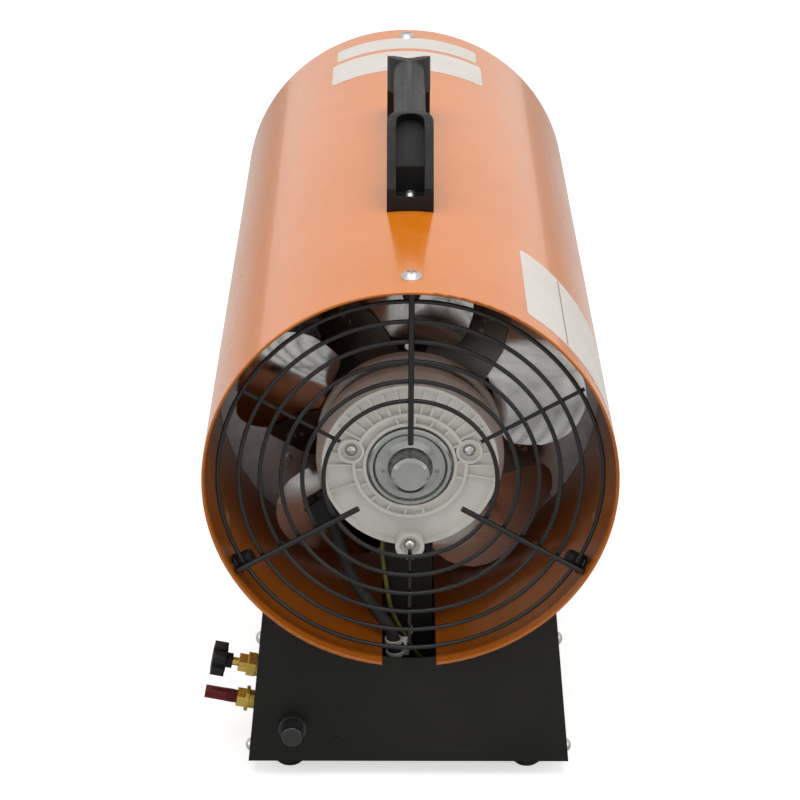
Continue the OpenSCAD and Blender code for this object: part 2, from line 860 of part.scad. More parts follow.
// Each rivet lies on the line from the camber centre through its place on the blade
module fan_rivets() {
  color("silver") each_blade()
    for (share = rivet_shares) {
      t = share[1] * blade_tip;
      lean = asin((t - camber_centre[0]) / blade_camber);
      translate([share[0] * blade_tip, -camber_centre[0], camber_centre[1]])
        rotate([-lean, 0, 0])
          translate([0, 0, -blade_camber - 2 * seat - arm_sheet - rivet_head_height])
            cylinder(r = rivet_head / 2, h = rivet_head_height, $fn = 24);
    }
}

nut_flats = 13;
nut_thickness = 6.5;
module fan_nut() {
  hub_end = blade_depth(0) + hub_length * 0.6 + hub_neck;
  color("silver") along(hub_end + seat) difference() {
    union() {
      cylinder(r = nut_flats * 0.6, h = overrun);
      translate([0, 0, overrun / 2]) hexagon(nut_flats, nut_thickness);
    }
    translate([0, 0, -overrun])
      cylinder(r = shaft_radius + running / 2, h = nut_thickness + 3 * overrun);
  }
}

// Baffle, chamber and burner

baffle_flange = 6;
baffle_lip = 4;
baffle_slot_width = 16;
baffle_slot_gap = 5;
baffle_slot_sweep = 36;
slot_middle = casing_inner - baffle_slot_gap - baffle_slot_width / 2 - plate_sheet;
notch_width = 25;

module baffle_plate() {
  outer = casing_inner - 3 * seat;
  inner = baffle_hole / 2;
  color("lightgray")
  along(baffle_setback) difference() {
    union() {
      ring(outer, inner, plate_sheet);
      ring(outer, outer - plate_sheet, baffle_flange);
      ring(inner + plate_sheet, inner, baffle_lip);
    }
    for (turn = [60, 120, 240, 300]) {
      clock(turn + baffle_slot_sweep / 2)
        translate([0, 0, -overrun])
          rotate_extrude(angle = baffle_slot_sweep, $fn = 96)
            translate([slot_middle - baffle_slot_width / 2, 0])
              square([baffle_slot_width, plate_sheet + 2 * overrun]);
    }
    translate([-notch_width / 2, casing_inner - notch_width / 2, -overrun])
      cube([notch_width, notch_width, baffle_flange + 2 * overrun]);
    face_point(thermostat_at) bore(sheet_shank / 2 + screw_clearance, plate_sheet);
  }
}

chamber_radius = chamber_diameter / 2;
chamber_end = chamber_setback + chamber_length;
air_hole = 7;
air_hole_count = 16;
air_hole_setback = 30;

module combustion_chamber() {
  color("lightsteelblue")
  along(chamber_setback) difference() {
    rotate_extrude($fn = 96) {
      translate([chamber_radius - chamber_wall, 0]) square([chamber_wall, chamber_length]);
      for (end = [chamber_wall, chamber_length - chamber_wall])
        translate([chamber_radius, end]) circle(r = chamber_wall, $fn = 24);
    }
    for (i = [0:air_hole_count - 1])
      clock((i + 0.5) * 360 / air_hole_count)
        translate([chamber_radius - 2 * overrun, 0, air_hole_setback])
          rotate([0, quarter, 0]) cylinder(r = air_hole / 2, h = 4 * overrun);
  }
}

spacer_diameter = 8;
spacer_turns = [top_turn - 45, top_turn + 45, low_left_turn + 25, low_right_turn - 25];
spacer_setbacks = [
  chamber_setback + chamber_length * 0.16,
  chamber_setback + chamber_length * 0.88
];

module chamber_spacers() {
  color("lightgray")
  intersection() {
    along(chamber_setback) ring(casing_inner - seat, chamber_radius + seat, chamber_length);
    for (turn = spacer_turns, setback = spacer_setbacks)
      radial(turn, chamber_radius - overrun, setback)
        cylinder(r = spacer_diameter / 2, h = casing_radius - chamber_radius);
  }
}

burner_flange = 14;
burner_hole = 5;
burner_arm = 14;
nozzle_radius = 3;
nozzle_hole = 8;
burner_rows = [[0.3, 8], [0.54, 14], [0.78, 20]];
electrode_at = [18, -26];
thermocouple_at = [-18, -26];
ceramic_diameter = 7;

module burner_plate() {
  outer = burner_diameter / 2;
  color("silver")
  along(chamber_setback) difference() {
    union() {
      cylinder(r = outer, h = plate_sheet, $fn = 96);
      ring(outer, outer - plate_sheet, burner_flange);
      intersection() {
        cylinder(r = chamber_radius - chamber_wall - seat, h = plate_sheet);
        for (turn = [top_turn, low_left_turn, low_right_turn])
          clock(turn) translate([outer - plate_sheet, -burner_arm / 2, 0])
            cube([chamber_radius, burner_arm, plate_sheet]);
      }
      for (turn = [top_turn, low_left_turn, low_right_turn])
        intersection() {
          ring(chamber_radius - chamber_wall - seat,
            chamber_radius - chamber_wall - seat - plate_sheet, burner_flange);
          clock(turn) translate([0, -burner_arm / 2, 0])
            cube([chamber_radius, burner_arm, burner_flange]);
        }
    }
    for (row = burner_rows, i = [0:row[1] - 1])
      clock(i * 360 / row[1]) translate([row[0] * outer, 0, -overrun])
        cylinder(r = burner_hole / 2, h = plate_sheet + 2 * overrun);
    bore(nozzle_radius + screw_clearance, plate_sheet);
    for (at = [electrode_at, thermocouple_at])
      face_point(at) bore(ceramic_diameter / 2 + screw_clearance, plate_sheet);
  }
}

injector_length = 16;
injector_radius = 7;
pipe_radius = pipe_diameter / 2;
pipe_setback = chamber_setback - injector_length * 0.6;
pipe_boss = 8;

module gas_injector() {
  color("goldenrod") difference() {
    union() {
      along(chamber_setback - injector_length - seat)
        hexagon(2 * injector_radius, injector_length);
      along(chamber_setback - overrun) cylinder(r = nozzle_radius, h = pipe_boss);
      radial(-quarter, 0, pipe_setback)
        cylinder(r = pipe_radius + boss_wall / 2, h = injector_radius + pipe_boss);
    }
    radial(-quarter, injector_radius, pipe_setback)
      cylinder(r = pipe_radius + running, h = pipe_boss + overrun);
    along(chamber_setback) cylinder(r = nozzle_radius / 3, h = 2 * pipe_boss);
  }
}

// The pipe leaves the safety valve forwards, low in the base, and climbs through the slot
safety_length = 30;
block_margin = 9;
safety_setback = gas_setback + block_margin + overrun;
safety_radius = 8;
safety_x = -base_half(valve_rise - base_drop, 0) + safety_radius * 1.4;
safety_z = valve_rise - base_drop - inlet_drop * 0.64;
safety_end = safety_setback + safety_length;
pipe_route = [
  [safety_x, safety_end + 2 * seat, safety_z],
  [safety_x, safety_end + pipe_boss / 2, safety_z],
  [safety_x, safety_end + pipe_boss, safety_z],
  [-50, pipe_setback - 3 * pipe_boss, -150],
  [-24, pipe_setback - pipe_boss / 2, -148],
  [-4, pipe_setback, -134],
  [0, pipe_setback, -110],
  [0, pipe_setback, -70],
  [0, pipe_setback, -injector_radius - seat]
];

module gas_pipe() {
  color("peru") swept_tube(pipe_route, pipe_radius, 12, 4);
}

module ignition_electrode() {
  color("white") along(chamber_setback - pipe_boss * 1.5) face_point(electrode_at) {
    cylinder(r = ceramic_diameter / 2, h = pipe_boss * 4);
    translate([0, 0, -pipe_boss * 0.5])
      cylinder(r = ceramic_diameter / 6, h = pipe_boss * 5.5);
  }
}

lead_radius = 2;
barrel_length = 28;
electrode_back = chamber_setback - pipe_boss * 2 - seat;
lead_back = electrode_back - 1.5 * lead_radius;
lead_front = electrode_back + lead_radius / 2;
hv_x = lead_radius - button_offset;
hv_z = button_rise - base_drop;
hv_end = base_setback + barrel_length;
hv_route = [
  [electrode_at[0], electrode_back - seat, electrode_at[1]],
  [electrode_at[0], lead_back, electrode_at[1] - lead_radius / 2],
  [17, lead_back + seat, -36],
  [14, lead_front, -54],
  [9, lead_front, -76],
  [7.5, lead_front, -96],
  [7.5, lead_front, -118],
  [4, 120, -150],
  [-20, 90, -168],
  [-50, 68, -168],
  [-62, 58, -163],
  [hv_x, hv_end + 4.5 * lead_radius, hv_z],
  [hv_x, hv_end + 2 * lead_radius, hv_z],
  [hv_x, hv_end + 4 * seat, hv_z]
];

module hv_lead() {
  color("firebrick") swept_tube(hv_route, lead_radius, 8, 3);
}

sensor_x = safety_x;
sensor_z = safety_z + safety_radius * 0.84;
thermocouple_route = [
  [thermocouple_at[0], electrode_back - seat, thermocouple_at[1]],
  [thermocouple_at[0], lead_back, thermocouple_at[1] - lead_radius / 2],
  [-17, lead_back + seat, -36],
  [-14, lead_front, -54],
  [-9, lead_front, -76],
  [-7.5, lead_front, -96],
  [-7.5, lead_front, -118],
  [-20, 120, -126],
  [-44, 106, -134],
  [-62, 96, -142],
  [sensor_x, safety_end + 6 * lead_radius, sensor_z + lead_radius],
  [sensor_x, safety_end + 2 * lead_radius, sensor_z],
  [sensor_x, safety_end + 4 * seat, sensor_z]
];

module thermocouple() {
  color("peru") {
    along(chamber_setback - pipe_boss * 1.5) face_point(thermocouple_at) {
      cylinder(r = ceramic_diameter / 2, h = pipe_boss * 3.2);
      translate([0, 0, -pipe_boss * 0.5])
        cylinder(r = ceramic_diameter / 6, h = pipe_boss * 4.5);
    }
    swept_tube(thermocouple_route, lead_radius * 0.75, 8, 3);
  }
}

thermostat_at = [-0.648 * casing_inner, -0.42 * casing_inner];
thermostat_radius = 8;
module overheat_thermostat() {
  color("silver") {
    along(baffle_setback + plate_sheet + seat) face_point(thermostat_at) {
      cylinder(r = thermostat_radius, h = thermostat_radius * 0.6);
      translate([0, 0, -plate_sheet - 2 * seat])
        cylinder(r = sheet_shank / 2, h = thermostat_radius);
    }
    along(baffle_setback - seat) face_point(thermostat_at) mirror([0, 0, 1])
      cylinder(r = sheet_head / 2, h = sheet_head_height);
  }
}

// Handle

foot_rise = 13.5;
leg_turn = 40;
leg_length = 46;
pocket_width = 16.5;
pocket_depth = 7;
foot_floor = 4;
well_length = 20;
underside_radius = 12;

crest_share = 0.194;
handle_crest = handle_setback + handle_length * crest_share;
handle_top = casing_radius + handle_height;
handle_under = handle_top - grip_thickness;
handle_foot_low = casing_radius - 3 * overrun;
handle_middle = handle_setback + handle_length / 2 - casing_length / 2;
grip_round = grip_width * 0.4;

// Half of the side outline, from the rear foot to past the middle, in Y and Z
module handle_side() {
  inside = handle_setback + well_length;
  middle = handle_setback + handle_length / 2 + overrun;
  polygon([
    [handle_setback, handle_foot_low],
    [inside + underside_radius / 2, handle_foot_low],
    [inside + underside_radius, handle_under - underside_radius / 2],
    [inside + underside_radius * 2, handle_under],
    [middle, handle_under],
    [middle, handle_top],
    [handle_crest, handle_top],
    [handle_crest - underside_radius, handle_top - underside_radius * 0.25],
    [handle_setback, casing_radius + foot_rise]
  ]);
}

arch_steps = 14;
module tombstone(width, length) {
  polygon(concat(
    [[-width / 2, -length], [width / 2, -length]],
    [for (i = [0:arch_steps]) width / 2 * [cos(180 * i / arch_steps), sin(180 * i / arch_steps)]]
  ));
}

// Frame of the slanted leg, with Y up the slope and Z out of it
module leg_frame() {
  translate([0, handle_crest - casing_length / 2,
    axis_height + handle_top - handle_width * 0.36])
    rotate([leg_turn, 0, 0]) children();
}

module grip_outline() {
  across = grip_width / 2 - grip_round;
  up = grip_thickness / 2 - grip_round;
  rounded_outline([
    [across, -up, grip_round],
    [across, up, grip_round],
    [-across, up, grip_round],
    [-across, -up, grip_round]
  ]);
}

module half_handle() {
  intersection() {
    side_slab(handle_width + 2 * overrun) handle_side();
    union() {
      leg_frame() translate([0, 0, -2 * leg_length])
        linear_extrude(height = 3 * leg_length) tombstone(handle_width, 3 * leg_length);
      translate([-handle_width / 2 - seat, -casing_length / 2, axis_height + handle_foot_low])
        cube([handle_width + 2 * seat, casing_length, foot_rise]);
      slab(0, casing_length)
        translate([0, handle_top - grip_thickness / 2]) grip_outline();
    }
  }
}

module handle_pocket() {
  back = pocket_depth * 0.6;
  leg_frame() translate([0, 0, -pocket_depth * 0.2])
    linear_extrude(height = leg_length) tombstone(pocket_width, leg_length);
  translate([-pocket_width / 2 - seat, handle_setback - casing_length / 2 + back,
    axis_height + casing_radius + foot_floor])
    cube([pocket_width + 2 * seat, well_length - back, foot_rise + pocket_depth]);
}

// The front half is the rear half mirrored about the handle's middle
module handle() {
  color("black") difference() {
    for (end = [0, 1])
      translate([0, 2 * end * handle_middle, 0]) mirror([0, end, 0]) difference() {
        half_handle();
        handle_pocket();
      }
    along(0) cylinder(r = casing_radius + seat, h = casing_length, $fn = 128);
    for (setback = handle_screws_at)
      radial(top_turn, casing_radius - overrun, setback)
        cylinder(r = handle_hole / 2, h = foot_rise);
  }
}

handle_head = 8.6;
handle_head_height = 3;
module handle_screws() {
  color("silver") for (setback = handle_screws_at)
    radial(top_turn, casing_radius + foot_floor + seat, setback)
      dome_screw(handle_head, handle_head_height, handle_hole - 2 * screw_clearance,
        foot_floor + casing_wall + 2 * overrun);
}

// Base

saddle_top = 70;
saddle_strip = 13;
panel_flange = 16;
side_screw_inset = 8;
side_screw_rises = [6.5, 78.5];
foot_offset = 70;
foot_inset = 19;
foot_plug = 3;

// Half width of the base at a height measured from the casing's axis
function base_half(z, inset) =
  base_width / 2 - (z + base_drop) * tan(base_lean) - inset / cos(base_lean);

module base_outline(inset, lift) {
  low = lift - base_drop;
  polygon([
    [-base_half(low, inset), low],
    [base_half(low, inset), low],
    [base_half(-saddle_top, inset), -saddle_top],
    [-base_half(-saddle_top, inset), -saddle_top]
  ]);
}

// Local Z points out of a side of the base, at a setback and a rise over the base's bottom
module side_point(side, setback, rise) {
  z = rise - base_drop;
  translate([side * base_half(z, 0), setback - casing_length / 2, z + axis_height])
    rotate([0, side * (quarter - base_lean), 0]) children();
}

side_screw_places = [for (setback = [base_setback + side_screw_inset,
  base_setback + base_length - side_screw_inset], rise = side_screw_rises) [setback, rise]];

module side_screw_holes() {
  for (side = [-1, 1], at = side_screw_places)
    side_point(side, at[0], at[1]) translate([0, 0, -6 * base_sheet])
      cylinder(r = sheet_shank / 2 + screw_clearance, h = 8 * base_sheet);
}

gas_boss = 13;
inlet_boss = 11;
tray_setback = base_setback + base_sheet;
tray_length = base_length - 2 * base_sheet;
switch_body = [22.4, 13];
gland_thread = 13;

module base_tray() {
  color("black") difference() {
    union() {
      slab(tray_setback, tray_length) difference() {
        base_outline(0, 0);
        base_outline(base_sheet, base_sheet);
        translate([-base_width / 4, -saddle_top - base_width / 4])
          square([base_width / 2, base_width / 2]);
        circle(r = casing_radius + seat, $fn = 128);
      }
      slab(tray_setback + panel_flange, tray_length - 2 * panel_flange) difference() {
        intersection() {
          base_outline(0, 0);
          circle(r = casing_radius + seat + base_sheet, $fn = 128);
        }
        circle(r = casing_radius + seat, $fn = 128);
        translate([-base_half(-saddle_top, saddle_strip), -base_drop])
          square([2 * base_half(-saddle_top, saddle_strip), base_drop]);
      }
    }
    side_screw_holes();
    for (turn = saddle_turns, setback = saddle_screw_setbacks)
      radial(turn, casing_radius, setback)
        cylinder(r = sheet_shank / 2 + screw_clearance, h = 2 * base_sheet);
    gas_frame() {
      translate([0, 0, -3 * boss_wall])
        cylinder(r = gas_boss / 2 + 2 * screw_clearance, h = 6 * boss_wall);
      translate([-inlet_drop, 0, -3 * boss_wall])
        cylinder(r = inlet_boss / 2 + 2 * screw_clearance, h = 6 * boss_wall);
    }
    side_point(1, switch_setback, electric_rise)
      translate([-switch_body[0] / 2 - screw_clearance, -switch_body[1] / 2 - screw_clearance,
        -3 * base_sheet])
        cube([switch_body[0] + 2 * screw_clearance, switch_body[1] + 2 * screw_clearance,
          6 * base_sheet]);
    side_point(1, gland_setback, electric_rise) translate([0, 0, -3 * base_sheet])
      cylinder(r = gland_thread / 2 + screw_clearance, h = 6 * base_sheet);
    foot_places() bore(foot_plug + running, base_sheet);
    for (x = leg_screws)
      translate([x, leg_setback + foot_plate * 0.72 - casing_length / 2, 0])
        cylinder(r = rivet_diameter / 2 + screw_clearance, h = 2 * foot_height);
  }
}

// Places each foot at the underside of the base
module foot_places() {
  for (side = [-1, 1], setback = [base_setback + foot_inset,
    base_setback + base_length - foot_inset])
    translate([side * foot_offset, setback - casing_length / 2, foot_height]) children();
}

module feet() {
  chamfer = foot_height * 0.16;
  radius = foot_diameter / 2;
  color("black") foot_places() rotate_extrude($fn = 64) polygon([
    [0, -foot_height],
    [radius - chamfer, -foot_height],
    [radius, -foot_height + chamfer],
    [radius, -chamfer],
    [radius - chamfer, -seat],
    [foot_plug, -seat],
    [foot_plug, base_sheet + seat],
    [foot_plug * 1.4, base_sheet + seat],
    [foot_plug * 0.8, base_sheet + foot_plug],
    [0, base_sheet + foot_plug]
  ]);
}

module panel(setback, flange_setback) {
  difference() {
    union() {
      slab(setback, base_sheet) difference() {
        base_outline(0, 0);
        circle(r = casing_radius + seat, $fn = 128);
      }
      slab(flange_setback, panel_flange) difference() {
        base_outline(base_sheet + seat, base_sheet + seat);
        base_outline(2 * base_sheet + seat, 0);
        circle(r = casing_radius + 2 * base_sheet, $fn = 128);
      }
    }
    side_screw_holes();
  }
}

rivet_offset = 42.2;
rivet_rise = 15;
panel_rivet_diameter = 3;

module base_rear_panel() {
  color("black") difference() {
    panel(base_setback, base_setback);
    translate([-button_offset, base_setback - overrun - casing_length / 2,
      foot_height + button_rise])
      rotate([-quarter, 0, 0]) cylinder(r = barrel_radius + running, h = 4 * overrun);
    translate([-rivet_offset, base_setback - overrun - casing_length / 2,
      foot_height + rivet_rise]) rotate([-quarter, 0, 0])
      cylinder(r = panel_rivet_diameter / 4 + running, h = 4 * overrun);
  }
}

louvre_count = 6;
louvre_width = 44;
louvre_height = 4;
louvre_pitch = 9;
module base_front_panel() {
  color("black") difference() {
    panel(base_setback + base_length - base_sheet,
      base_setback + base_length - panel_flange);
    for (i = [0:louvre_count - 1])
      slab(base_setback + base_length - 2 * overrun - base_sheet, 4 * overrun + base_sheet)
        translate([-louvre_width / 2, louvre_pitch * (i + 1) - base_drop])
          square([louvre_width, louvre_height]);
  }
}

module base_screws() {
  color("silver") {
    for (side = [-1, 1], at = side_screw_places)
      side_point(side, at[0], at[1]) translate([0, 0, seat])
        dome_screw(sheet_head, sheet_head_height, sheet_shank, 3 * base_sheet);
    for (x = leg_screws)
      translate([x, leg_setback + foot_plate * 0.72 - casing_length / 2,
        foot_height - seat])
        mirror([0, 0, 1])
          dome_screw(sheet_head, sheet_head_height, rivet_diameter, 4 * base_sheet);
    for (turn = saddle_turns, setback = saddle_screw_setbacks)
      radial(turn, casing_radius + base_sheet + 2 * seat, setback)
        dome_screw(sheet_head, sheet_head_height, sheet_shank,
          base_sheet + casing_wall + 2 * overrun);
  }
}

module panel_rivet() {
  color("dimgray")
  translate([-rivet_offset, base_setback - seat - casing_length / 2, foot_height + rivet_rise])
    rotate([quarter, 0, 0]) {
      cylinder(r = panel_rivet_diameter / 2, h = panel_rivet_diameter / 4);
      translate([0, 0, -2 * base_sheet])
        cylinder(r = panel_rivet_diameter / 4, h = 2 * base_sheet + seat);
    }
}

// Gas fittings, in a frame with Z out of the left side and X up along it
hex_start = 1;
valve_hex = 13.8;
valve_neck = 10.6;
valve_hex_height = 5;
valve_neck_height = 5.2;
gland_end = hex_start + valve_hex_height + valve_neck_height;
knob_gap = 3.8;
knob_hub_start = gland_end + knob_gap;
knob_hub = 3.6;
knob_start = knob_hub_start + knob_hub;
spindle_end = knob_start + knob_thickness * 0.64;
inlet_flange = 15;
inlet_flange_height = 2;
inlet_hex = 11;
inlet_hex_end = 8.1;
spigot_end = 24;
block_depth = 13;

module gas_frame() {
  side_root = [-base_half(valve_rise - base_drop, 0), gas_setback - casing_length / 2,
    valve_rise + foot_height];
  translate(side_root) rotate([0, gas_tilt - quarter, 0]) children();
}

module gas_valve_body() {
  color("goldenrod") gas_frame() difference() {
    union() {
      translate([-inlet_drop - block_margin, -block_margin, -block_depth - boss_wall * 1.5])
        cube([inlet_drop + 2 * block_margin, 2 * block_margin, block_depth]);
      translate([0, 0, -boss_wall * 2]) cylinder(r = gas_boss / 2, h = boss_wall * 2 + hex_start);
      translate([0, 0, hex_start]) hexagon(valve_hex, valve_hex_height);
      translate([0, 0, hex_start + valve_hex_height])
        hexagon(valve_neck, valve_neck_height);
      translate([-inlet_drop, 0, -boss_wall * 2])
        cylinder(r = inlet_boss / 2, h = boss_wall * 2 + hex_start);
      translate([-inlet_drop, 0, hex_start])
        cylinder(r = inlet_flange / 2, h = inlet_flange_height);
      translate([-inlet_drop, 0, hex_start])
        hexagon(inlet_hex, inlet_hex_end - hex_start);
      translate([-inlet_drop, 0, hex_start])
        cylinder(r = spigot_diameter / 2, h = spigot_end - hex_start);
    }
    translate([0, 0, -boss_wall])
      cylinder(r = spindle_diameter / 2 + running, h = boss_wall + gland_end + overrun);
    translate([-inlet_drop, 0, -boss_wall])
      cylinder(r = spigot_diameter / 4, h = spigot_end + boss_wall + overrun);
  }
}

module safety_valve() {
  color("goldenrod")
  translate([safety_x, safety_setback - casing_length / 2 - overrun + seat,
    safety_z + axis_height])
    rotate([-quarter, 0, 0]) cylinder(r = safety_radius, h = safety_length + overrun - seat);
}

module valve_spindle() {
  color("goldenrod") gas_frame() translate([0, 0, -boss_wall + seat])
    cylinder(r = spindle_diameter / 2, h = spindle_end + boss_wall - seat);
}

lobe_count = 6;
lobe_share = 0.3;
module valve_knob() {
  lobe = knob_diameter / 2 * lobe_share;
  color("black") gas_frame() difference() {
    union() {
      translate([0, 0, knob_hub_start])
        cylinder(r = knob_diameter * 0.2, h = knob_hub + overrun);
      translate([0, 0, knob_start])
        cylinder(r = knob_diameter / 2 - lobe * 1.1, h = knob_thickness);
      for (i = [0:lobe_count - 1])
        rotate([0, 0, i * 360 / lobe_count])
          translate([knob_diameter / 2 - lobe, 0, knob_start + lobe * 0.1])
            cylinder(r = lobe, h = knob_thickness - lobe * 0.2);
    }
    translate([0, 0, knob_hub_start - overrun])
      cylinder(r = spindle_diameter / 2 + seat / 2, h = spindle_end - knob_hub_start + overrun + seat);
  }
}

module inlet_cap() {
  start = inlet_hex_end + seat;
  color("darkred") gas_frame() translate([-inlet_drop, 0, start]) difference() {
    union() {
      cylinder(r = cap_diameter / 2, h = cap_length);
      for (i = [0:4])
        translate([0, 0, cap_length * (0.1 + i * 0.06)])
          cylinder(r = cap_diameter / 2 + seat * 4, h = cap_length * 0.03);
    }
    translate([0, 0, -overrun])
      cylinder(r = spigot_diameter / 2 + running, h = spigot_end - start + overrun + seat * 4);
  }
}

// Igniter in the rear panel, with Z out of the panel
collar_height = 4;
button_proud = 9;
collar_rim = 1.2;
barrel_radius = collar_diameter / 2 - collar_rim;
button_inside = 14;
button_length = button_proud + button_inside;

module igniter_frame() {
  translate([-button_offset, base_setback - casing_length / 2, foot_height + button_rise])
    rotate([quarter, 0, 0]) children();
}

module igniter_body() {
  color("black") igniter_frame() difference() {
    union() {
      translate([0, 0, seat]) cylinder(r = collar_diameter / 2, h = collar_height);
      translate([0, 0, -barrel_length])
        cylinder(r = barrel_radius, h = barrel_length + collar_height / 2);
      translate([0, 0, -base_sheet - seat - collar_height])
        hexagon(collar_diameter + 2 * overrun, collar_height);
    }
    translate([0, 0, -button_length + button_proud - button_travel - overrun])
      cylinder(r = button_diameter / 2 + running,
        h = button_length + button_travel + collar_height + overrun);
  }
}

module igniter_button() {
  radius = button_diameter / 2;
  edge = radius * 0.12;
  color("black") igniter_frame() rotate_extrude($fn = 64) polygon([
    [0, button_proud - button_length],
    [radius, button_proud - button_length],
    [radius, button_proud + collar_height - edge],
    [radius - edge, button_proud + collar_height],
    [0, button_proud + collar_height]
  ]);
}

// Mains switch and gland on the right side
rocker_half = 8.5;
rocker_tilt = 12;
rocker_depth = 4;
rocker_width = 9;
rocker_side = 0.4;
switch_bezel = [26, 16.6];
bezel_height = 1.8;
window_half = 10.2;
switch_deep = 14;
pin_radius = 1.2;
pin_reach = 1.2;

module switch_housing() {
  color("black") side_point(1, switch_setback, electric_rise) difference() {
    union() {
      translate([-switch_bezel[0] / 2, -switch_bezel[1] / 2, seat])
        cube([switch_bezel[0], switch_bezel[1], bezel_height]);
      translate([-switch_body[0] / 2, -switch_body[1] / 2, -switch_deep])
        cube([switch_body[0], switch_body[1], switch_deep + bezel_height / 2]);
    }
    translate([-window_half, -rocker_width / 2 - rocker_side, -switch_deep + 2 * overrun])
      cube([2 * window_half, rocker_width + 2 * rocker_side, 2 * switch_deep]);
    translate([0, -rocker_width / 2 - pin_reach - seat, -rocker_depth])
      rotate([-quarter, 0, 0])
        cylinder(r = pin_radius + running, h = rocker_width + 2 * pin_reach + 2 * seat);
  }
}

module switch_rocker() {
  color("darkred") side_point(1, switch_setback, electric_rise)
    translate([0, 0, -rocker_depth]) rotate([0, rocker_tilt, 0]) {
      translate([0, rocker_width / 2, 0]) rotate([quarter, 0, 0])
        linear_extrude(height = rocker_width) polygon([
          [-rocker_half, rocker_depth * 0.25],
          [rocker_half, rocker_depth * 0.25],
          [rocker_half, rocker_depth * 1.5],
          [0, rocker_depth * 1.15],
          [-rocker_half, rocker_depth * 1.5]
        ]);
      translate([0, -rocker_width / 2 - pin_reach, 0]) rotate([-quarter, 0, 0])
        cylinder(r = pin_radius, h = rocker_width + 2 * pin_reach);
      translate([-rocker_half * 0.3, -rocker_width / 2, -pin_radius])
        cube([rocker_half * 0.6, rocker_width, rocker_depth]);
    }
}

gland_flats = 17;
gland_hex_height = 5;
gland_dome_height = 9;
gland_inside = 10;

module mains_gland() {
  color("black") side_point(1, gland_setback, electric_rise) difference() {
    union() {
      translate([0, 0, seat]) hexagon(gland_flats, gland_hex_height);
      translate([0, 0, -gland_inside])
        cylinder(r = gland_thread / 2, h = gland_inside + gland_hex_height);
      translate([0, 0, gland_hex_height]) rotate_extrude($fn = 64) polygon([
        [0, 0],
        [gland_flats * 0.46, 0],
        [gland_flats * 0.46, gland_dome_height * 0.6],
        [gland_flats * 0.34, gland_dome_height],
        [0, gland_dome_height]
      ]);
    }
    translate([0, 0, -gland_inside - overrun])
      cylinder(r = cable_hole / 2,
        h = gland_inside + gland_hex_height + gland_dome_height + 2 * overrun);
  }
}

module gland_nut() {
  color("black") side_point(1, gland_setback, electric_rise)
    translate([0, 0, -base_sheet - seat - gland_hex_height]) difference() {
      hexagon(gland_flats, gland_hex_height);
      bore(gland_thread / 2 + seat / 2, gland_hex_height);
    }
}

// Terminal block on the floor of the base
block_size = [46, 20, 15];
block_place = [28, 96];
module terminal_block() {
  ways = 5;
  pitch = block_size[0] / ways;
  color("ivory")
  translate([block_place[0] - block_size[0] / 2, block_place[1] - casing_length / 2,
    foot_height + base_sheet + seat]) difference() {
      cube(block_size);
      for (i = [0:ways - 1])
        translate([(i + 0.5) * pitch, block_size[1] / 2, block_size[2] * 0.4])
          cylinder(r = pitch * 0.28, h = block_size[2]);
      for (i = [1:ways - 1])
        translate([i * pitch - pitch * 0.08, -overrun, block_size[2] * 0.55])
          cube([pitch * 0.16, block_size[1] + 2 * overrun, block_size[2]]);
    }
}

// Motor lead in its sleeve, from the clamp on the motor down to the terminal block
conduit_radius = 3.5;
conduit_route = [
  [-57, 51, -33],
  [-52, 51, -39.5],
  [-47, 51, -46],
  [-40, 48, -62],
  [-32, 42, -82],
  [-19, 35, -98],
  [-10, 31.5, -110],
  [-8.6, 31, -118],
  [-8.2, 31.4, -127],
  [-2, 34, -141],
  [12, 40, -154],
  [26, 56, -161],
  [28, 76, -167],
  [24, 88, -172.5],
  [24, 92, -173],
  [24, 95.7, -173]
];
module conduit() {
  color("black") swept_tube(conduit_route, conduit_radius, 10, 3);
}

earth_radius = 1.3;
earth_route = [
  [-15.4, 52, -57],
  [-15.6, 48, -66],
  [-13.4, 45, -84],
  [-9.6, 44, -104],
  [-3, 44, -118],
  [8, 42, -134],
  [28, 48, -148],
  [40, 68, -162],
  [38, 86, -172.5],
  [37, 92, -173],
  [37, 95.7, -173]
];
module earth_wire() {
  color("yellowgreen") swept_tube(earth_route, earth_radius, 8, 3);
}

clamp_width = 13;
clamp_reach = 17.5;
clamp_turn = 217.2;
clamp_hole_radius = 65.3;
module cable_clamp() {
  color("black") along(stack_setback + seat) clock(clamp_turn) difference() {
    translate([motor_radius + seat, -clamp_width / 2, 0])
      cube([clamp_reach, clamp_width, stack_length - 2 * seat]);
    translate([clamp_hole_radius, clamp_width, stack_length / 2]) rotate([quarter, 0, 0])
      cylinder(r = conduit_radius + 6 * seat, h = 2 * clamp_width);
  }
}

tie_places = [[-8.9, 31.1, -116.4], [-8.2, 31.2, -124.4]];
tie_wire = 0.9;
module cable_ties() {
  color("white") for (at = tie_places)
    translate([at[0], at[1] - casing_length / 2, at[2] + axis_height]) {
      rotate_extrude($fn = 48) translate([conduit_radius + tie_wire * 0.8, 0])
        square([tie_wire, tie_wire * 2.6]);
      translate([conduit_radius + tie_wire * 1.3, -tie_wire * 1.5, -tie_wire * 0.2])
        cube([tie_wire * 4, tie_wire * 3, tie_wire * 3]);
    }
}

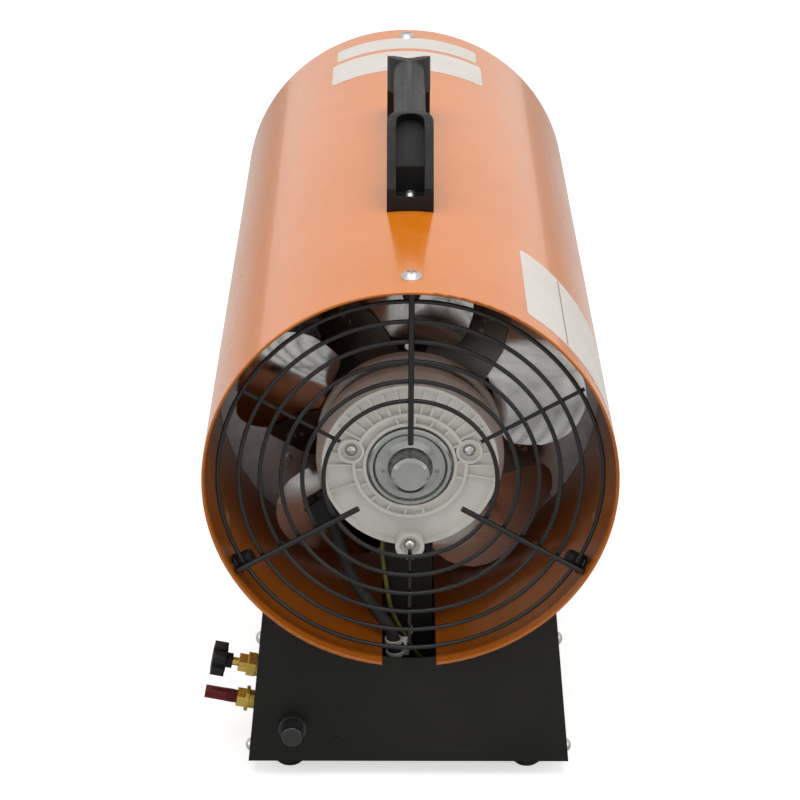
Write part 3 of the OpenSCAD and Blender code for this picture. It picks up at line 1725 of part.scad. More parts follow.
casing();
casing_screws();
inlet_guard();
outlet_guard();
guard_nuts();
motor_rear_bell();
bearing_cap();
motor_bearings();
motor_stator();
motor_windings();
motor_front_bell();
motor_screws();
motor_bracket();
motor_shaft();
motor_rotor();
fan_spider();
fan_blades();
fan_rivets();
fan_nut();
baffle_plate();
combustion_chamber();
chamber_spacers();
burner_plate();
gas_injector();
gas_pipe();
ignition_electrode();
hv_lead();
thermocouple();
overheat_thermostat();
handle();
handle_screws();
base_tray();
base_rear_panel();
base_front_panel();
base_screws();
panel_rivet();
feet();
gas_valve_body();
safety_valve();
valve_spindle();
valve_knob();
inlet_cap();
igniter_body();
igniter_button();
switch_housing();
switch_rocker();
mains_gland();
gland_nut();
terminal_block();
conduit();
earth_wire();
cable_clamp();
cable_ties();
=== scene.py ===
"""Gas forced air heater: finishes, small parts and studio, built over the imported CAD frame."""

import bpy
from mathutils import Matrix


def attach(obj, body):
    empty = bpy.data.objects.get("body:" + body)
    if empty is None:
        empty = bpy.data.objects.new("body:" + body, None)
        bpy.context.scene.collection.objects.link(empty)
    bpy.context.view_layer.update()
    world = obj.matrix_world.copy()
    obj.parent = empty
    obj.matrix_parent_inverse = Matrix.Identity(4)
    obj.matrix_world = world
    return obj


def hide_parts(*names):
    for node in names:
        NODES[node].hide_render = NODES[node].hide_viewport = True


bl_info = {
    "name": "Gas Forced Air Heater",
    "version": (1, 0, 0),
    "blender": (4, 5, 0),
    "location": "View3D > Sidebar > Heater",
    "description": "Dresses the packed heater with finishes, labels, leads and a plain studio",
    "category": "Object",
}

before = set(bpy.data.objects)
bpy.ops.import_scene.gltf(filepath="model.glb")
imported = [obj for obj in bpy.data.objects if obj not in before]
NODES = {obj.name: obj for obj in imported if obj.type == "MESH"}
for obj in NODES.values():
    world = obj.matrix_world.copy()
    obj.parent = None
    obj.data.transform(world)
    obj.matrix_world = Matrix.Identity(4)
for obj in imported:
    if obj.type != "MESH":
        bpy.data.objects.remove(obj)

import math

import bpy
from bpy.props import FloatProperty, FloatVectorProperty, PointerProperty
from mathutils import Matrix, Vector

MM = 0.001
AXIS_HEIGHT = 195.5
CASING_RADIUS = 115.0
INNER_FACE = 114.6
MERGE_DISTANCE = 0.00002
FLAT_ANGLE = math.radians(2.0)
BEVEL_ANGLE = math.radians(28.0)
BEVEL_STEPS = 3
CURVE_STEPS = 8
LABEL_GRID = (48, 24)
CONDUIT_RADIUS = 3.5
EARTH_RADIUS = 1.3
TIE_TAIL_RADIUS = 0.75

# Camera, as fitted to the photograph: place in metres, pitch, yaw and roll in degrees, lens in millimetres
CAMERA_PLACE = (-0.0121, -1.4431, 0.7947)
CAMERA_TURNS = (24.63, 0.293, 0.269)
CAMERA_LENS = 109.35
SENSOR_WIDTH = 36.0
FLOOR_SIZE = 9.0
FLOOR_GLOW = 0.62
OVERHEAD_LIGHT = {"spot": (0.0, -0.3, 1.9), "size": (1.6, 1.8)}
SIDE_LIGHT = {"spot": (1.7, -0.9, 0.9), "size": (1.0, 1.4)}
LIGHT_AIM = (0, 0, 0.2)

# Blank labels: setback of the near edge and length in millimetres, turns from the top in degrees
LABELS = {
    "front_label": (452.0, 26.0, -25.0, 25.0),
    "top_label": (402.0, 44.0, -26.5, 26.5),
    "side_label": (15.0, 97.0, 33.0, 74.0),
}
RULE = (17.0, 93.0, 47.4, 47.9)
LABEL_CORNER = 3.0
RULE_CORNER = 0.1

# Width of the rounded edges of each moulded control
CONTROLS = (
    ("valve_knob", "moulded_knob", "textured_black_plastic", 0.0007),
    ("igniter_button", "moulded_button", "glossy_black_plastic", 0.0004),
    ("inlet_cap", "moulded_cap", "dark_red_plastic", 0.0005),
)
REAR_RIM = -250.0
BODY_OF = {"valve_knob": "valve", "igniter_button": "igniter", "inlet_cap": "cap"}


def place(x, setback, z):
    """A point given in millimetres from the rear rim and the casing's axis, in metres."""
    return Vector((x * MM, (REAR_RIM + setback) * MM, (AXIS_HEIGHT + z) * MM))


# Shader building blocks


class Tree:
    """Adds nodes to a node tree and joins them, so that a graph reads from left to right."""

    def __init__(self, tree):
        self.tree = tree
        self.column = 0

    def add(self, kind, **settings):
        node = self.tree.nodes.new(kind)
        node.location = (self.column * 190, 0)
        self.column += 1
        for key, value in settings.items():
            setattr(node, key, value)
        return node

    def feed(self, target, value):
        if isinstance(value, bpy.types.NodeSocket):
            self.tree.links.new(value, target)
        elif target.type == "RGBA" and len(value) == 3:
            target.default_value = (*value, 1.0)
        else:
            target.default_value = value

    def math(self, operation, first, second=0.0, third=None, clamp=False):
        node = self.add("ShaderNodeMath", operation=operation, use_clamp=clamp)
        self.feed(node.inputs[0], first)
        self.feed(node.inputs[1], second)
        if third is not None:
            self.feed(node.inputs[2], third)
        return node.outputs[0]

    def span(self, value, low, high, new_low=0.0, new_high=1.0):
        node = self.add("ShaderNodeMapRange", clamp=True, interpolation_type="SMOOTHSTEP")
        for socket, item in zip(node.inputs[:5], (value, low, high, new_low, new_high)):
            self.feed(socket, item)
        return node.outputs[0]

    def mix(self, factor, first, second):
        node = self.add("ShaderNodeMix", data_type="RGBA")
        self.feed(node.inputs["Factor"], factor)
        self.feed(node.inputs[6], first)
        self.feed(node.inputs[7], second)
        return node.outputs[2]

    def blend(self, factor, first, second):
        node = self.add("ShaderNodeMix", data_type="FLOAT")
        self.feed(node.inputs[0], factor)
        self.feed(node.inputs[2], first)
        self.feed(node.inputs[3], second)
        return node.outputs[0]

    def noise(self, vector, scale, detail, rough):
        node = self.add("ShaderNodeTexNoise")
        self.feed(node.inputs["Vector"], vector)
        self.feed(node.inputs["Scale"], scale)
        node.inputs["Detail"].default_value = detail
        node.inputs["Roughness"].default_value = rough
        return node.outputs["Fac"]

    def stretch(self, vector, size, turn=(0, 0, 0), shift=(0, 0, 0)):
        node = self.add("ShaderNodeMapping")
        self.feed(node.inputs["Vector"], vector)
        node.inputs["Scale"].default_value = size
        node.inputs["Rotation"].default_value = turn
        node.inputs["Location"].default_value = shift
        return node.outputs[0]

    def group(self, name, **inputs):
        node = self.add("ShaderNodeGroup", node_tree=GROUPS[name])
        for key, value in inputs.items():
            self.feed(node.inputs[key.replace("_", " ")], value)
        return node.outputs


GROUPS = {}


def open_group(name, inputs, outputs):
    """A shader node group with named sockets, and the tools to fill it."""
    tree = bpy.data.node_groups.new(name, "ShaderNodeTree")
    for label, kind in inputs:
        tree.interface.new_socket(name=label, in_out="INPUT", socket_type="NodeSocket" + kind)
    for label, kind in outputs:
        tree.interface.new_socket(name=label, in_out="OUTPUT", socket_type="NodeSocket" + kind)
    GROUPS[name] = tree
    tools = Tree(tree)
    return tools, tools.add("NodeGroupInput").outputs, tools.add("NodeGroupOutput").inputs


def build_groups():
    """The effects that several finishes share."""
    t, given, out = open_group(
        "Tone Drift",
        [("Vector", "Vector"), ("Scale", "Float"), ("Contrast", "Float")],
        [("Mask", "Float")],
    )
    broad = t.noise(given["Vector"], given["Scale"], 3.0, 0.5)
    fine = t.noise(given["Vector"], t.math("MULTIPLY", given["Scale"], 5.3), 5.0, 0.6)
    both = t.math("ADD", t.math("MULTIPLY", broad, 0.7), t.math("MULTIPLY", fine, 0.3))
    low = t.math("SUBTRACT", 0.5, given["Contrast"])
    high = t.math("ADD", 0.5, given["Contrast"])
    t.feed(out["Mask"], t.span(both, low, high))

    t, given, out = open_group(
        "Fine Grain",
        [("Vector", "Vector"), ("Scale", "Float"), ("Softness", "Float")],
        [("Height", "Float"), ("Mask", "Float")],
    )
    coarse = t.noise(given["Vector"], given["Scale"], 2.0, 0.5)
    fine = t.noise(given["Vector"], t.math("MULTIPLY", given["Scale"], 2.7), 6.0, 0.65)
    height = t.blend(given["Softness"], fine, coarse)
    t.feed(out["Height"], height)
    t.feed(out["Mask"], t.span(height, 0.35, 0.65))

    t, given, out = open_group(
        "Edge Wear",
        [("Vector", "Vector"), ("Width", "Float"), ("Scale", "Float"), ("Amount", "Float")],
        [("Mask", "Float"), ("Normal", "Vector")],
    )
    bevel = t.add("ShaderNodeBevel", samples=6)
    t.feed(bevel.inputs["Radius"], given["Width"])
    true = t.add("ShaderNodeNewGeometry")
    dot = t.add("ShaderNodeVectorMath", operation="DOT_PRODUCT")
    t.feed(dot.inputs[0], bevel.outputs[0])
    t.feed(dot.inputs[1], true.outputs["Normal"])
    edge = t.span(dot.outputs["Value"], 0.985, 0.86)
    patch = t.span(t.noise(given["Vector"], given["Scale"], 6.0, 0.6), 0.42, 0.62)
    t.feed(out["Mask"], t.math("MULTIPLY", t.math("MULTIPLY", edge, patch), given["Amount"], clamp=True))
    t.feed(out["Normal"], bevel.outputs[0])

    t, given, out = open_group(
        "Hairline Scratches",
        [("Vector", "Vector"), ("Scale", "Float"), ("Amount", "Float")],
        [("Mask", "Float")],
    )
    total = None
    directions = (
        ((0.3, 0.9, 0.4), (1, 26, 26)),
        ((1.2, 0.2, 2.1), (24, 1, 24)),
        ((2.3, 1.4, 0.9), (26, 26, 1)),
    )
    for turn, size in directions:
        line = t.noise(t.stretch(given["Vector"], size, turn), given["Scale"], 2.0, 0.4)
        line = t.span(line, 0.7, 0.76)
        total = line if total is None else t.math("MAXIMUM", total, line)
    where = t.span(t.noise(given["Vector"], t.math("MULTIPLY", given["Scale"], 3.0), 2.0, 0.5), 0.45, 0.65)
    t.feed(out["Mask"], t.math("MULTIPLY", t.math("MULTIPLY", total, where), given["Amount"], clamp=True))

    t, given, out = open_group(
        "Settled Dust",
        [("Vector", "Vector"), ("Scale", "Float"), ("Amount", "Float")],
        [("Mask", "Float")],
    )
    normal = t.add("ShaderNodeNewGeometry")
    split = t.add("ShaderNodeSeparateXYZ")
    t.feed(split.inputs[0], normal.outputs["Normal"])
    up = t.span(split.outputs["Z"], 0.1, 1.0)
    specks = t.span(t.noise(given["Vector"], given["Scale"], 8.0, 0.7), 0.38, 0.72)
    t.feed(out["Mask"], t.math("MULTIPLY", t.math("MULTIPLY", up, specks), given["Amount"], clamp=True))

    t, given, out = open_group(
        "Zinc Spangle",
        [("Vector", "Vector"), ("Scale", "Float")],
        [("Mask", "Float"), ("Height", "Float")],
    )
    cells = t.add("ShaderNodeTexVoronoi", feature="F1", distance="EUCLIDEAN")
    wobble = t.noise(given["Vector"], t.math("MULTIPLY", given["Scale"], 1.7), 2.0, 0.5)
    bent = t.add("ShaderNodeVectorMath", operation="SCALE")
    t.feed(bent.inputs[0], given["Vector"])
    t.feed(bent.inputs["Scale"], t.math("ADD", 1.0, t.math("MULTIPLY", wobble, 0.02)))
    t.feed(cells.inputs["Vector"], bent.outputs[0])
    t.feed(cells.inputs["Scale"], given["Scale"])
    grey = t.add("ShaderNodeSeparateColor")
    t.feed(grey.inputs[0], cells.outputs["Color"])
    t.feed(
        out["Mask"],
        t.math("ADD", t.math("MULTIPLY", grey.outputs[0], 0.7), t.math("MULTIPLY", wobble, 0.3)),
    )
    t.feed(out["Height"], cells.outputs["Distance"])

    t, given, out = open_group(
        "Rolled Streaks",
        [("Vector", "Vector"), ("Scale", "Float"), ("Contrast", "Float")],
        [("Mask", "Float"), ("Height", "Float")],
    )
    long = t.noise(given["Vector"], given["Scale"], 5.0, 0.6)
    t.feed(
        out["Mask"],
        t.span(long, t.math("SUBTRACT", 0.5, given["Contrast"]), t.math("ADD", 0.5, given["Contrast"])),
    )
    t.feed(out["Height"], long)

    t, given, out = open_group(
        "Turned Rings",
        [("Vector", "Vector"), ("Scale", "Float")],
        [("Mask", "Float"), ("Height", "Float")],
    )
    split = t.add("ShaderNodeSeparateXYZ")
    t.feed(split.inputs[0], given["Vector"])
    square = t.math(
        "ADD",
        t.math("MULTIPLY", split.outputs["X"], split.outputs["X"]),
        t.math("MULTIPLY", split.outputs["Z"], split.outputs["Z"]),
    )
    reach = t.math("ADD", t.math("SQRT", square), t.math("MULTIPLY", split.outputs["Y"], 0.9))
    line = t.add("ShaderNodeTexNoise", noise_dimensions="1D")
    t.feed(line.inputs["W"], reach)
    t.feed(line.inputs["Scale"], given["Scale"])
    line.inputs["Detail"].default_value = 3.0
    t.feed(out["Mask"], t.span(line.outputs["Fac"], 0.36, 0.64))
    t.feed(out["Height"], line.outputs["Fac"])


MATERIALS = {}


def finish(
    name,
    colour,
    second,
    rough,
    metal=0.0,
    drift=(9.0, 0.18),
    grain=(900.0, 0.5, 0.12, 0.0002),
    wear=None,
    scratches=None,
    dust=None,
    pattern=None,
    coat=0.0,
    coat_rough=0.1,
    specular=0.5,
    edge=0.0004,
    inside_shade_and_gloss=None,
):
    """A layered finish: tone, pattern, grain, scratches, worn edges and dust over one shader, with painted
    shade inside the casing where asked.

    rough is the roughness of the two tones. The other layers are tuples:
    drift: scale, contrast
    grain: scale, softness, bump strength, bump distance
    wear: scale, amount, colour, roughness, metal
    scratches: scale, amount, colour
    dust: scale, amount, colour
    pattern: group, scale, (share, colour, gloss change), depth, stretch, turn, shift
    inside_shade_and_gloss: painted shade colour for the casing's inside, standing in for the shade in the
    tube, and its roughness edge is the width in metres of the rounding that the shader gives to edges.
    """
    mat = bpy.data.materials.new(name)
    mat.use_nodes = True
    mat.node_tree.nodes.clear()
    t = Tree(mat.node_tree)
    where = t.add("ShaderNodeTexCoord").outputs["Object"]
    shader = t.add("ShaderNodeBsdfPrincipled")
    mask = t.group("Tone Drift", Vector=where, Scale=drift[0], Contrast=drift[1])["Mask"]
    base = t.mix(mask, colour, second)
    gloss = t.span(mask, 0.0, 1.0, rough[0], rough[1])
    fine = t.group("Fine Grain", Vector=where, Scale=grain[0], Softness=grain[1])
    height = fine["Height"]
    gloss = t.math("ADD", gloss, t.math("MULTIPLY", t.math("SUBTRACT", fine["Mask"], 0.5), rough[1] * 0.12))
    if pattern:
        kind, scale, shade, depth, size, turn, shift = pattern
        extra = {"Contrast": 0.16} if kind == "Rolled Streaks" else {}
        marks = t.group(kind, Vector=t.stretch(where, size, turn, shift), Scale=scale, **extra)
        base = t.mix(t.math("MULTIPLY", marks["Mask"], shade[0]), base, shade[1])
        gloss = t.math("ADD", gloss, t.math("MULTIPLY", t.math("SUBTRACT", marks["Mask"], 0.5), shade[2]))
        height = t.math("ADD", height, t.math("MULTIPLY", marks["Height"], depth))
    if scratches:
        cuts = t.group("Hairline Scratches", Vector=where, Scale=scratches[0], Amount=scratches[1])["Mask"]
        base = t.mix(t.math("MULTIPLY", cuts, 0.6), base, scratches[2])
        height = t.math("SUBTRACT", height, t.math("MULTIPLY", cuts, 0.6))
    metallic = metal
    normal = None
    if edge:
        worn = t.group(
            "Edge Wear",
            Vector=where,
            Width=edge,
            Scale=wear[0] if wear else 120.0,
            Amount=wear[1] if wear else 0.0,
        )
        normal = worn["Normal"]
        if wear:
            base = t.mix(worn["Mask"], base, wear[2])
            gloss = t.blend(worn["Mask"], gloss, wear[3])
            if wear[4] != metal:
                metallic = t.blend(worn["Mask"], metal, wear[4])
    if dust:
        settled = t.group("Settled Dust", Vector=where, Scale=dust[0], Amount=dust[1])["Mask"]
        base = t.mix(settled, base, dust[2])
        gloss = t.blend(settled, gloss, 0.8)
    # Painted shade: inside the casing's bore the orange turns darker, standing in for the shade there, and
    # the gloss turns rougher.
    if inside_shade_and_gloss:
        spot = t.add("ShaderNodeSeparateXYZ")
        t.feed(spot.inputs[0], where)
        rise = t.math("SUBTRACT", spot.outputs[2], AXIS_HEIGHT * MM)
        reach = t.math(
            "ADD",
            t.math("MULTIPLY", spot.outputs[0], spot.outputs[0]),
            t.math("MULTIPLY", rise, rise),
        )
        shaded_inside = t.math("LESS_THAN", reach, (INNER_FACE * MM) ** 2)
        base = t.mix(t.math("MULTIPLY", shaded_inside, 0.8), base, inside_shade_and_gloss[0])
        gloss = t.blend(shaded_inside, gloss, inside_shade_and_gloss[1])
    bump = t.add("ShaderNodeBump")
    bump.inputs["Strength"].default_value = grain[2]
    bump.inputs["Distance"].default_value = grain[3]
    t.feed(bump.inputs["Height"], height)
    if normal is not None:
        t.feed(bump.inputs["Normal"], normal)
    t.feed(shader.inputs["Base Color"], base)
    t.feed(shader.inputs["Roughness"], gloss)
    t.feed(shader.inputs["Metallic"], metallic)
    t.feed(shader.inputs["Normal"], bump.outputs[0])
    shader.inputs["Specular IOR Level"].default_value = specular
    shader.inputs["Coat Weight"].default_value = coat
    shader.inputs["Coat Roughness"].default_value = coat_rough
    t.feed(t.add("ShaderNodeOutputMaterial").inputs["Surface"], shader.outputs[0])
    MATERIALS[name] = mat
    return mat


def dress(node, name):
    """Gives a CAD node a finish on all its material slots."""
    mesh = NODES[node].data
    mesh.materials.clear()
    mesh.materials.append(MATERIALS[name])


# Modelling helpers


def clear_selection():
    if bpy.context.mode != "OBJECT":
        bpy.ops.object.mode_set(mode="OBJECT")
    bpy.ops.object.select_all(action="DESELECT")


def pick(obj):
    clear_selection()
    obj.select_set(True)
    bpy.context.view_layer.objects.active = obj


def settle(obj, name, material, body="chassis", smooth=40.0):
    """Puts the object's place into its mesh, smooths it and hands it to its body."""
    pick(obj)
    if obj.type != "MESH":
        bpy.ops.object.convert(target="MESH")
        obj = bpy.context.view_layer.objects.active
    bpy.ops.object.transform_apply(location=True, rotation=True, scale=True)
    for modifier in list(obj.modifiers):
        bpy.ops.object.modifier_apply(modifier=modifier.name)
    obj.name = name
    obj.data.name = name
    obj.data.materials.clear()
    obj.data.materials.append(MATERIALS[material])
    if smooth:
        bpy.ops.object.shade_smooth_by_angle(angle=math.radians(smooth))
    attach(obj, body)
    return obj


def modifier(obj, kind, **settings):
    item = obj.modifiers.new(kind, kind)
    for key, value in settings.items():
        setattr(item, key, value)
    return item


def copy_of(node):
    """A merged, cleaned copy of a CAD node's mesh, to be rounded by a bevel."""
    source = NODES[node]
    mesh = source.data.copy()
    obj = bpy.data.objects.new("copy", mesh)
    bpy.context.scene.collection.objects.link(obj)
    pick(obj)
    bpy.ops.object.mode_set(mode="EDIT")
    bpy.ops.mesh.select_all(action="SELECT")
    bpy.ops.mesh.remove_doubles(threshold=MERGE_DISTANCE)
    bpy.ops.mesh.dissolve_limited(angle_limit=FLAT_ANGLE)
    bpy.ops.object.mode_set(mode="OBJECT")
    return obj


def tube(name, points, radius, material, sides):
    """A round lead along a smooth curve through the points, in metres."""
    curve = bpy.data.curves.new(name, "CURVE")
    curve.dimensions = "3D"
    curve.bevel_depth = radius
    curve.bevel_resolution = sides
    curve.resolution_u = CURVE_STEPS
    curve.use_fill_caps = True
    line = curve.splines.new("BEZIER")
    line.bezier_points.add(len(points) - 1)
    for spot, point in zip(line.bezier_points, points):
        spot.co = point
        spot.handle_left_type = spot.handle_right_type = "AUTO"
    obj = bpy.data.objects.new(name, curve)
    bpy.context.scene.collection.objects.link(obj)
    return settle(obj, name, material)


# Settings that a user would change


class HeaterFinish(bpy.types.PropertyGroup):
    casing_colour: FloatVectorProperty(
        name="Casing",
        description="Paint of the round casing",
        subtype="COLOR",
        size=3,
        default=(0.80, 0.215, 0.003),
        min=0,
        max=1,
    )
    base_colour: FloatVectorProperty(
        name="Base",
        description="Paint of the sheet base",
        subtype="COLOR",
        size=3,
        default=(0.012, 0.012, 0.011),
        min=0,
        max=1,
    )
    motor_colour: FloatVectorProperty(
        name="Motor",
        description="Paint of the motor's end shields",
        subtype="COLOR",
        size=3,
        default=(0.83, 0.81, 0.745),
        min=0,
        max=1,
    )
    cap_colour: FloatVectorProperty(
        name="Cap",
        description="Plastic of the transport cap",
        subtype="COLOR",
        size=3,
        default=(0.17, 0.008, 0.010),
        min=0,
        max=1,
    )
    worn: FloatProperty(
        name="Wear",
        description="How far the edges are worn",
        subtype="FACTOR",
        default=0.35,
        min=0,
        max=1,
    )


class HeaterLabels(bpy.types.PropertyGroup):
    lift: FloatProperty(
        name="Lift",
        description="Thickness of the labels",
        subtype="DISTANCE",
        default=0.00012,
        min=0.00005,
        max=0.0005,
    )
    paper: FloatVectorProperty(
        name="Paper",
        description="Face of the labels",
        subtype="COLOR",
        size=3,
        default=(0.78, 0.72, 0.66),
        min=0,
        max=1,
    )


class HeaterStudio(bpy.types.PropertyGroup):
    key_power: FloatProperty(
        name="Key",
        description="Power of the large overhead light",
        subtype="POWER",
        default=20.0,
        min=0,
        max=100,
    )
    side_power: FloatProperty(
        name="Sides",
        description="Power of the two side lights",
        subtype="POWER",
        default=7.0,
        min=0,
        max=100,
    )
    world_level: FloatProperty(
        name="World",
        description="Level of the surroundings",
        default=0.36,
        min=0,
        max=2,
    )


# Operators


class HEATER_OT_finishes(bpy.types.Operator):
    """Builds the finishes and gives every CAD part its own"""

    bl_idname = "heater.finishes"
    bl_label = "Finishes"

    def execute(self, context):
        s = context.scene.heater_finish
        build_groups()
        paint = tuple(s.casing_colour)
        black = tuple(s.base_colour)
        cream = tuple(s.motor_colour)
        red = tuple(s.cap_colour)
        worn = s.worn
        steel = (0.50, 0.50, 0.51)
        grey_dust = (0.30, 0.27, 0.23)
        finish(
            "orange_enamel",
            colour=paint,
            second=tuple(c * 0.9 for c in paint),
            rough=(0.16, 0.22),
            drift=(6.0, 0.2),
            grain=(420.0, 0.7, 0.05, 0.0003),
            wear=(160.0, worn * 0.5, (0.93, 0.42, 0.14), 0.3, 0.0),
            scratches=(3.0, 0.35, (0.86, 0.42, 0.2)),
            dust=(60.0, 0.05, (0.8, 0.55, 0.4)),
            coat=0.3,
            coat_rough=0.06,
            specular=0.35,
            # Painted shade: a darker orange on the inside of the casing, with a rougher gloss
            inside_shade_and_gloss=((0.34, 0.085, 0.003), 0.5),
        )
        finish(
            "black_powder_coat",
            colour=black,
            second=(0.020, 0.019, 0.017),
            rough=(0.40, 0.50),
            drift=(7.0, 0.2),
            grain=(1500.0, 0.5, 0.22, 0.0002),
            wear=(220.0, worn, (0.10, 0.10, 0.10), 0.4, 0.6),
            scratches=(4.0, 0.4, (0.06, 0.06, 0.06)),
            dust=(90.0, 0.07, grey_dust),
            specular=0.14,
        )
        finish(
            "black_wire_coat",
            colour=(0.006, 0.006, 0.006),
            second=(0.010, 0.009, 0.009),
            rough=(0.26, 0.36),
            drift=(20.0, 0.2),
            grain=(1800.0, 0.6, 0.15, 0.0002),
            wear=(300.0, worn * 0.5, (0.09, 0.08, 0.07), 0.4, 0.5),
            dust=(160.0, 0.04, grey_dust),
            coat=0.3,
            coat_rough=0.2,
            edge=0,
            specular=0.2,
        )
        finish(
            "cream_die_cast",
            colour=cream,
            second=tuple(c * 0.84 for c in cream),
            rough=(0.36, 0.50),
            drift=(30.0, 0.22),
            grain=(1300.0, 0.6, 0.35, 0.0003),
            wear=(380.0, worn, (0.42, 0.40, 0.36), 0.45, 0.3),
            scratches=(16.0, 0.3, (0.35, 0.33, 0.28)),
            dust=(260.0, 0.14, (0.42, 0.40, 0.35)),
            specular=0.45,
        )
        finish(
            "turned_bright_steel",
            colour=(0.30, 0.31, 0.29),
            second=(0.21, 0.22, 0.20),
            rough=(0.16, 0.28),
            metal=1.0,
            drift=(45.0, 0.2),
            grain=(2400.0, 0.5, 0.08, 0.0001),
            pattern=(
                "Turned Rings",
                2600.0,
                (0.35, (0.48, 0.48, 0.47), 0.08),
                0.5,
                (1, 1, 1),
                (0, 0, 0),
                (0, 0, -AXIS_HEIGHT * MM),
            ),
            dust=(300.0, 0.2, grey_dust),
            edge=0.0003,
        )
        finish(
            "zinc_plate",
            colour=(0.60, 0.60, 0.60),
            second=(0.40, 0.39, 0.37),
            rough=(0.22, 0.40),
            metal=1.0,
            drift=(160.0, 0.2),
            grain=(2600.0, 0.5, 0.12, 0.0001),
            wear=(700.0, worn, (0.78, 0.78, 0.78), 0.2, 1.0),
            scratches=(60.0, 0.4, (0.75, 0.75, 0.75)),
            edge=0.0002,
        )
        finish(
            "dark_pressed_steel",
            colour=(0.10, 0.095, 0.088),
            second=(0.17, 0.16, 0.145),
            rough=(0.34, 0.52),
            metal=0.85,
            drift=(40.0, 0.2),
            grain=(1400.0, 0.4, 0.18, 0.0002),
            wear=(420.0, worn, (0.34, 0.33, 0.31), 0.35, 1.0),
            scratches=(22.0, 0.5, (0.26, 0.25, 0.24)),
            dust=(240.0, 0.2, grey_dust),
            edge=0.0002,
        )
        finish(
            "stacked_laminations",
            colour=(0.085, 0.080, 0.075),
            second=(0.05, 0.046, 0.042),
            rough=(0.42, 0.6),
            metal=0.8,
            drift=(60.0, 0.2),
            grain=(1600.0, 0.4, 0.3, 0.0002),
            pattern=(
                "Rolled Streaks",
                1.0,
                (0.7, (0.15, 0.145, 0.14), 0.1),
                2.2,
                (2, 2600, 2),
                (0, 0, 0),
                (0, 0, 0),
            ),
        )
        finish(
            "drawn_copper",
            colour=(0.60, 0.27, 0.13),
            second=(0.36, 0.15, 0.08),
            rough=(0.28, 0.46),
            metal=1.0,
            drift=(38.0, 0.2),
            grain=(1500.0, 0.5, 0.14, 0.0002),
            scratches=(20.0, 0.5, (0.78, 0.42, 0.26)),
            dust=(200.0, 0.12, (0.20, 0.14, 0.09)),
            edge=0,
        )
        finish(
            "polished_aluminium",
            colour=(0.50, 0.49, 0.47),
            second=(0.38, 0.37, 0.35),
            rough=(0.10, 0.20),
            metal=1.0,
            drift=(26.0, 0.22),
            grain=(1700.0, 0.5, 0.05, 0.0002),
            pattern=(
                "Rolled Streaks",
                1.0,
                (0.14, (0.66, 0.66, 0.65), 0.04),
                0.25,
                (26, 26, 420),
                (0.4, 0.2, 0.1),
                (0, 0, 0),
            ),
            scratches=(18.0, 0.45, (0.80, 0.80, 0.80)),
            dust=(260.0, 0.08, grey_dust),
            edge=0.0002,
        )
        finish(
            "galvanised_sheet",
            colour=(0.56, 0.58, 0.58),
            second=(0.44, 0.455, 0.46),
            rough=(0.28, 0.40),
            metal=1.0,
            drift=(14.0, 0.2),
            grain=(1200.0, 0.5, 0.10, 0.0002),
            pattern=(
                "Zinc Spangle",
                190.0,
                (0.55, (0.70, 0.72, 0.73), 0.16),
                0.25,
                (1, 1, 1),
                (0, 0, 0),
                (0, 0, 0),
            ),
            wear=(300.0, worn, (0.74, 0.75, 0.76), 0.25, 1.0),
            scratches=(10.0, 0.45, (0.76, 0.77, 0.78)),
            dust=(120.0, 0.10, grey_dust),
            edge=0.0003,
        )
        finish(
            "turned_brass",
            colour=(0.62, 0.46, 0.11),
            second=(0.46, 0.33, 0.07),
            rough=(0.20, 0.34),
            metal=1.0,
            drift=(90.0, 0.2),
            grain=(2200.0, 0.5, 0.10, 0.0001),
            wear=(620.0, worn, (0.88, 0.66, 0.30), 0.18, 1.0),
            scratches=(50.0, 0.5, (0.90, 0.68, 0.34)),
            dust=(420.0, 0.15, (0.24, 0.17, 0.08)),
            edge=0.00035,
        )
        finish(
            "textured_black_plastic",
            colour=(0.009, 0.009, 0.009),
            second=(0.014, 0.013, 0.013),
            rough=(0.40, 0.54),
            drift=(26.0, 0.2),
            grain=(2300.0, 0.35, 0.5, 0.0002),
            wear=(260.0, worn, (0.055, 0.053, 0.05), 0.4, 0.0),
            scratches=(14.0, 0.5, (0.05, 0.05, 0.05)),
            dust=(210.0, 0.05, grey_dust),
            edge=0.0007,
            specular=0.2,
        )
        finish(
            "glossy_black_plastic",
            colour=(0.010, 0.010, 0.010),
            second=(0.015, 0.015, 0.014),
            rough=(0.14, 0.24),
            drift=(60.0, 0.2),
            grain=(1500.0, 0.5, 0.06, 0.0002),
            scratches=(40.0, 0.5, (0.05, 0.05, 0.05)),
            dust=(300.0, 0.06, grey_dust),
            coat=0.3,
            coat_rough=0.08,
            edge=0.0006,
            specular=0.35,
        )
        finish(
            "dark_red_plastic",
            colour=red,
            second=tuple(c * 0.6 for c in red),
            rough=(0.30, 0.44),
            drift=(120.0, 0.2),
            grain=(2100.0, 0.5, 0.2, 0.0002),
            scratches=(60.0, 0.5, (0.32, 0.05, 0.05)),
            dust=(420.0, 0.15, grey_dust),
            edge=0.0004,
            specular=0.2,
        )
        finish(
            "foot_rubber",
            colour=(0.012, 0.012, 0.012),
            second=(0.022, 0.021, 0.020),
            rough=(0.62, 0.78),
            drift=(60.0, 0.2),
            grain=(1500.0, 0.4, 0.5, 0.0003),
            wear=(240.0, worn, (0.07, 0.065, 0.06), 0.8, 0.0),
            dust=(200.0, 0.3, grey_dust),
            specular=0.3,
            edge=0.0008,
        )
        finish(
            "glazed_ceramic",
            colour=(0.80, 0.78, 0.72),
            second=(0.70, 0.67, 0.60),
            rough=(0.12, 0.22),
            drift=(80.0, 0.2),
            grain=(900.0, 0.6, 0.06, 0.0003),
            scratches=(40.0, 0.3, (0.5, 0.45, 0.38)),
            coat=0.6,
            edge=0.0004,
        )
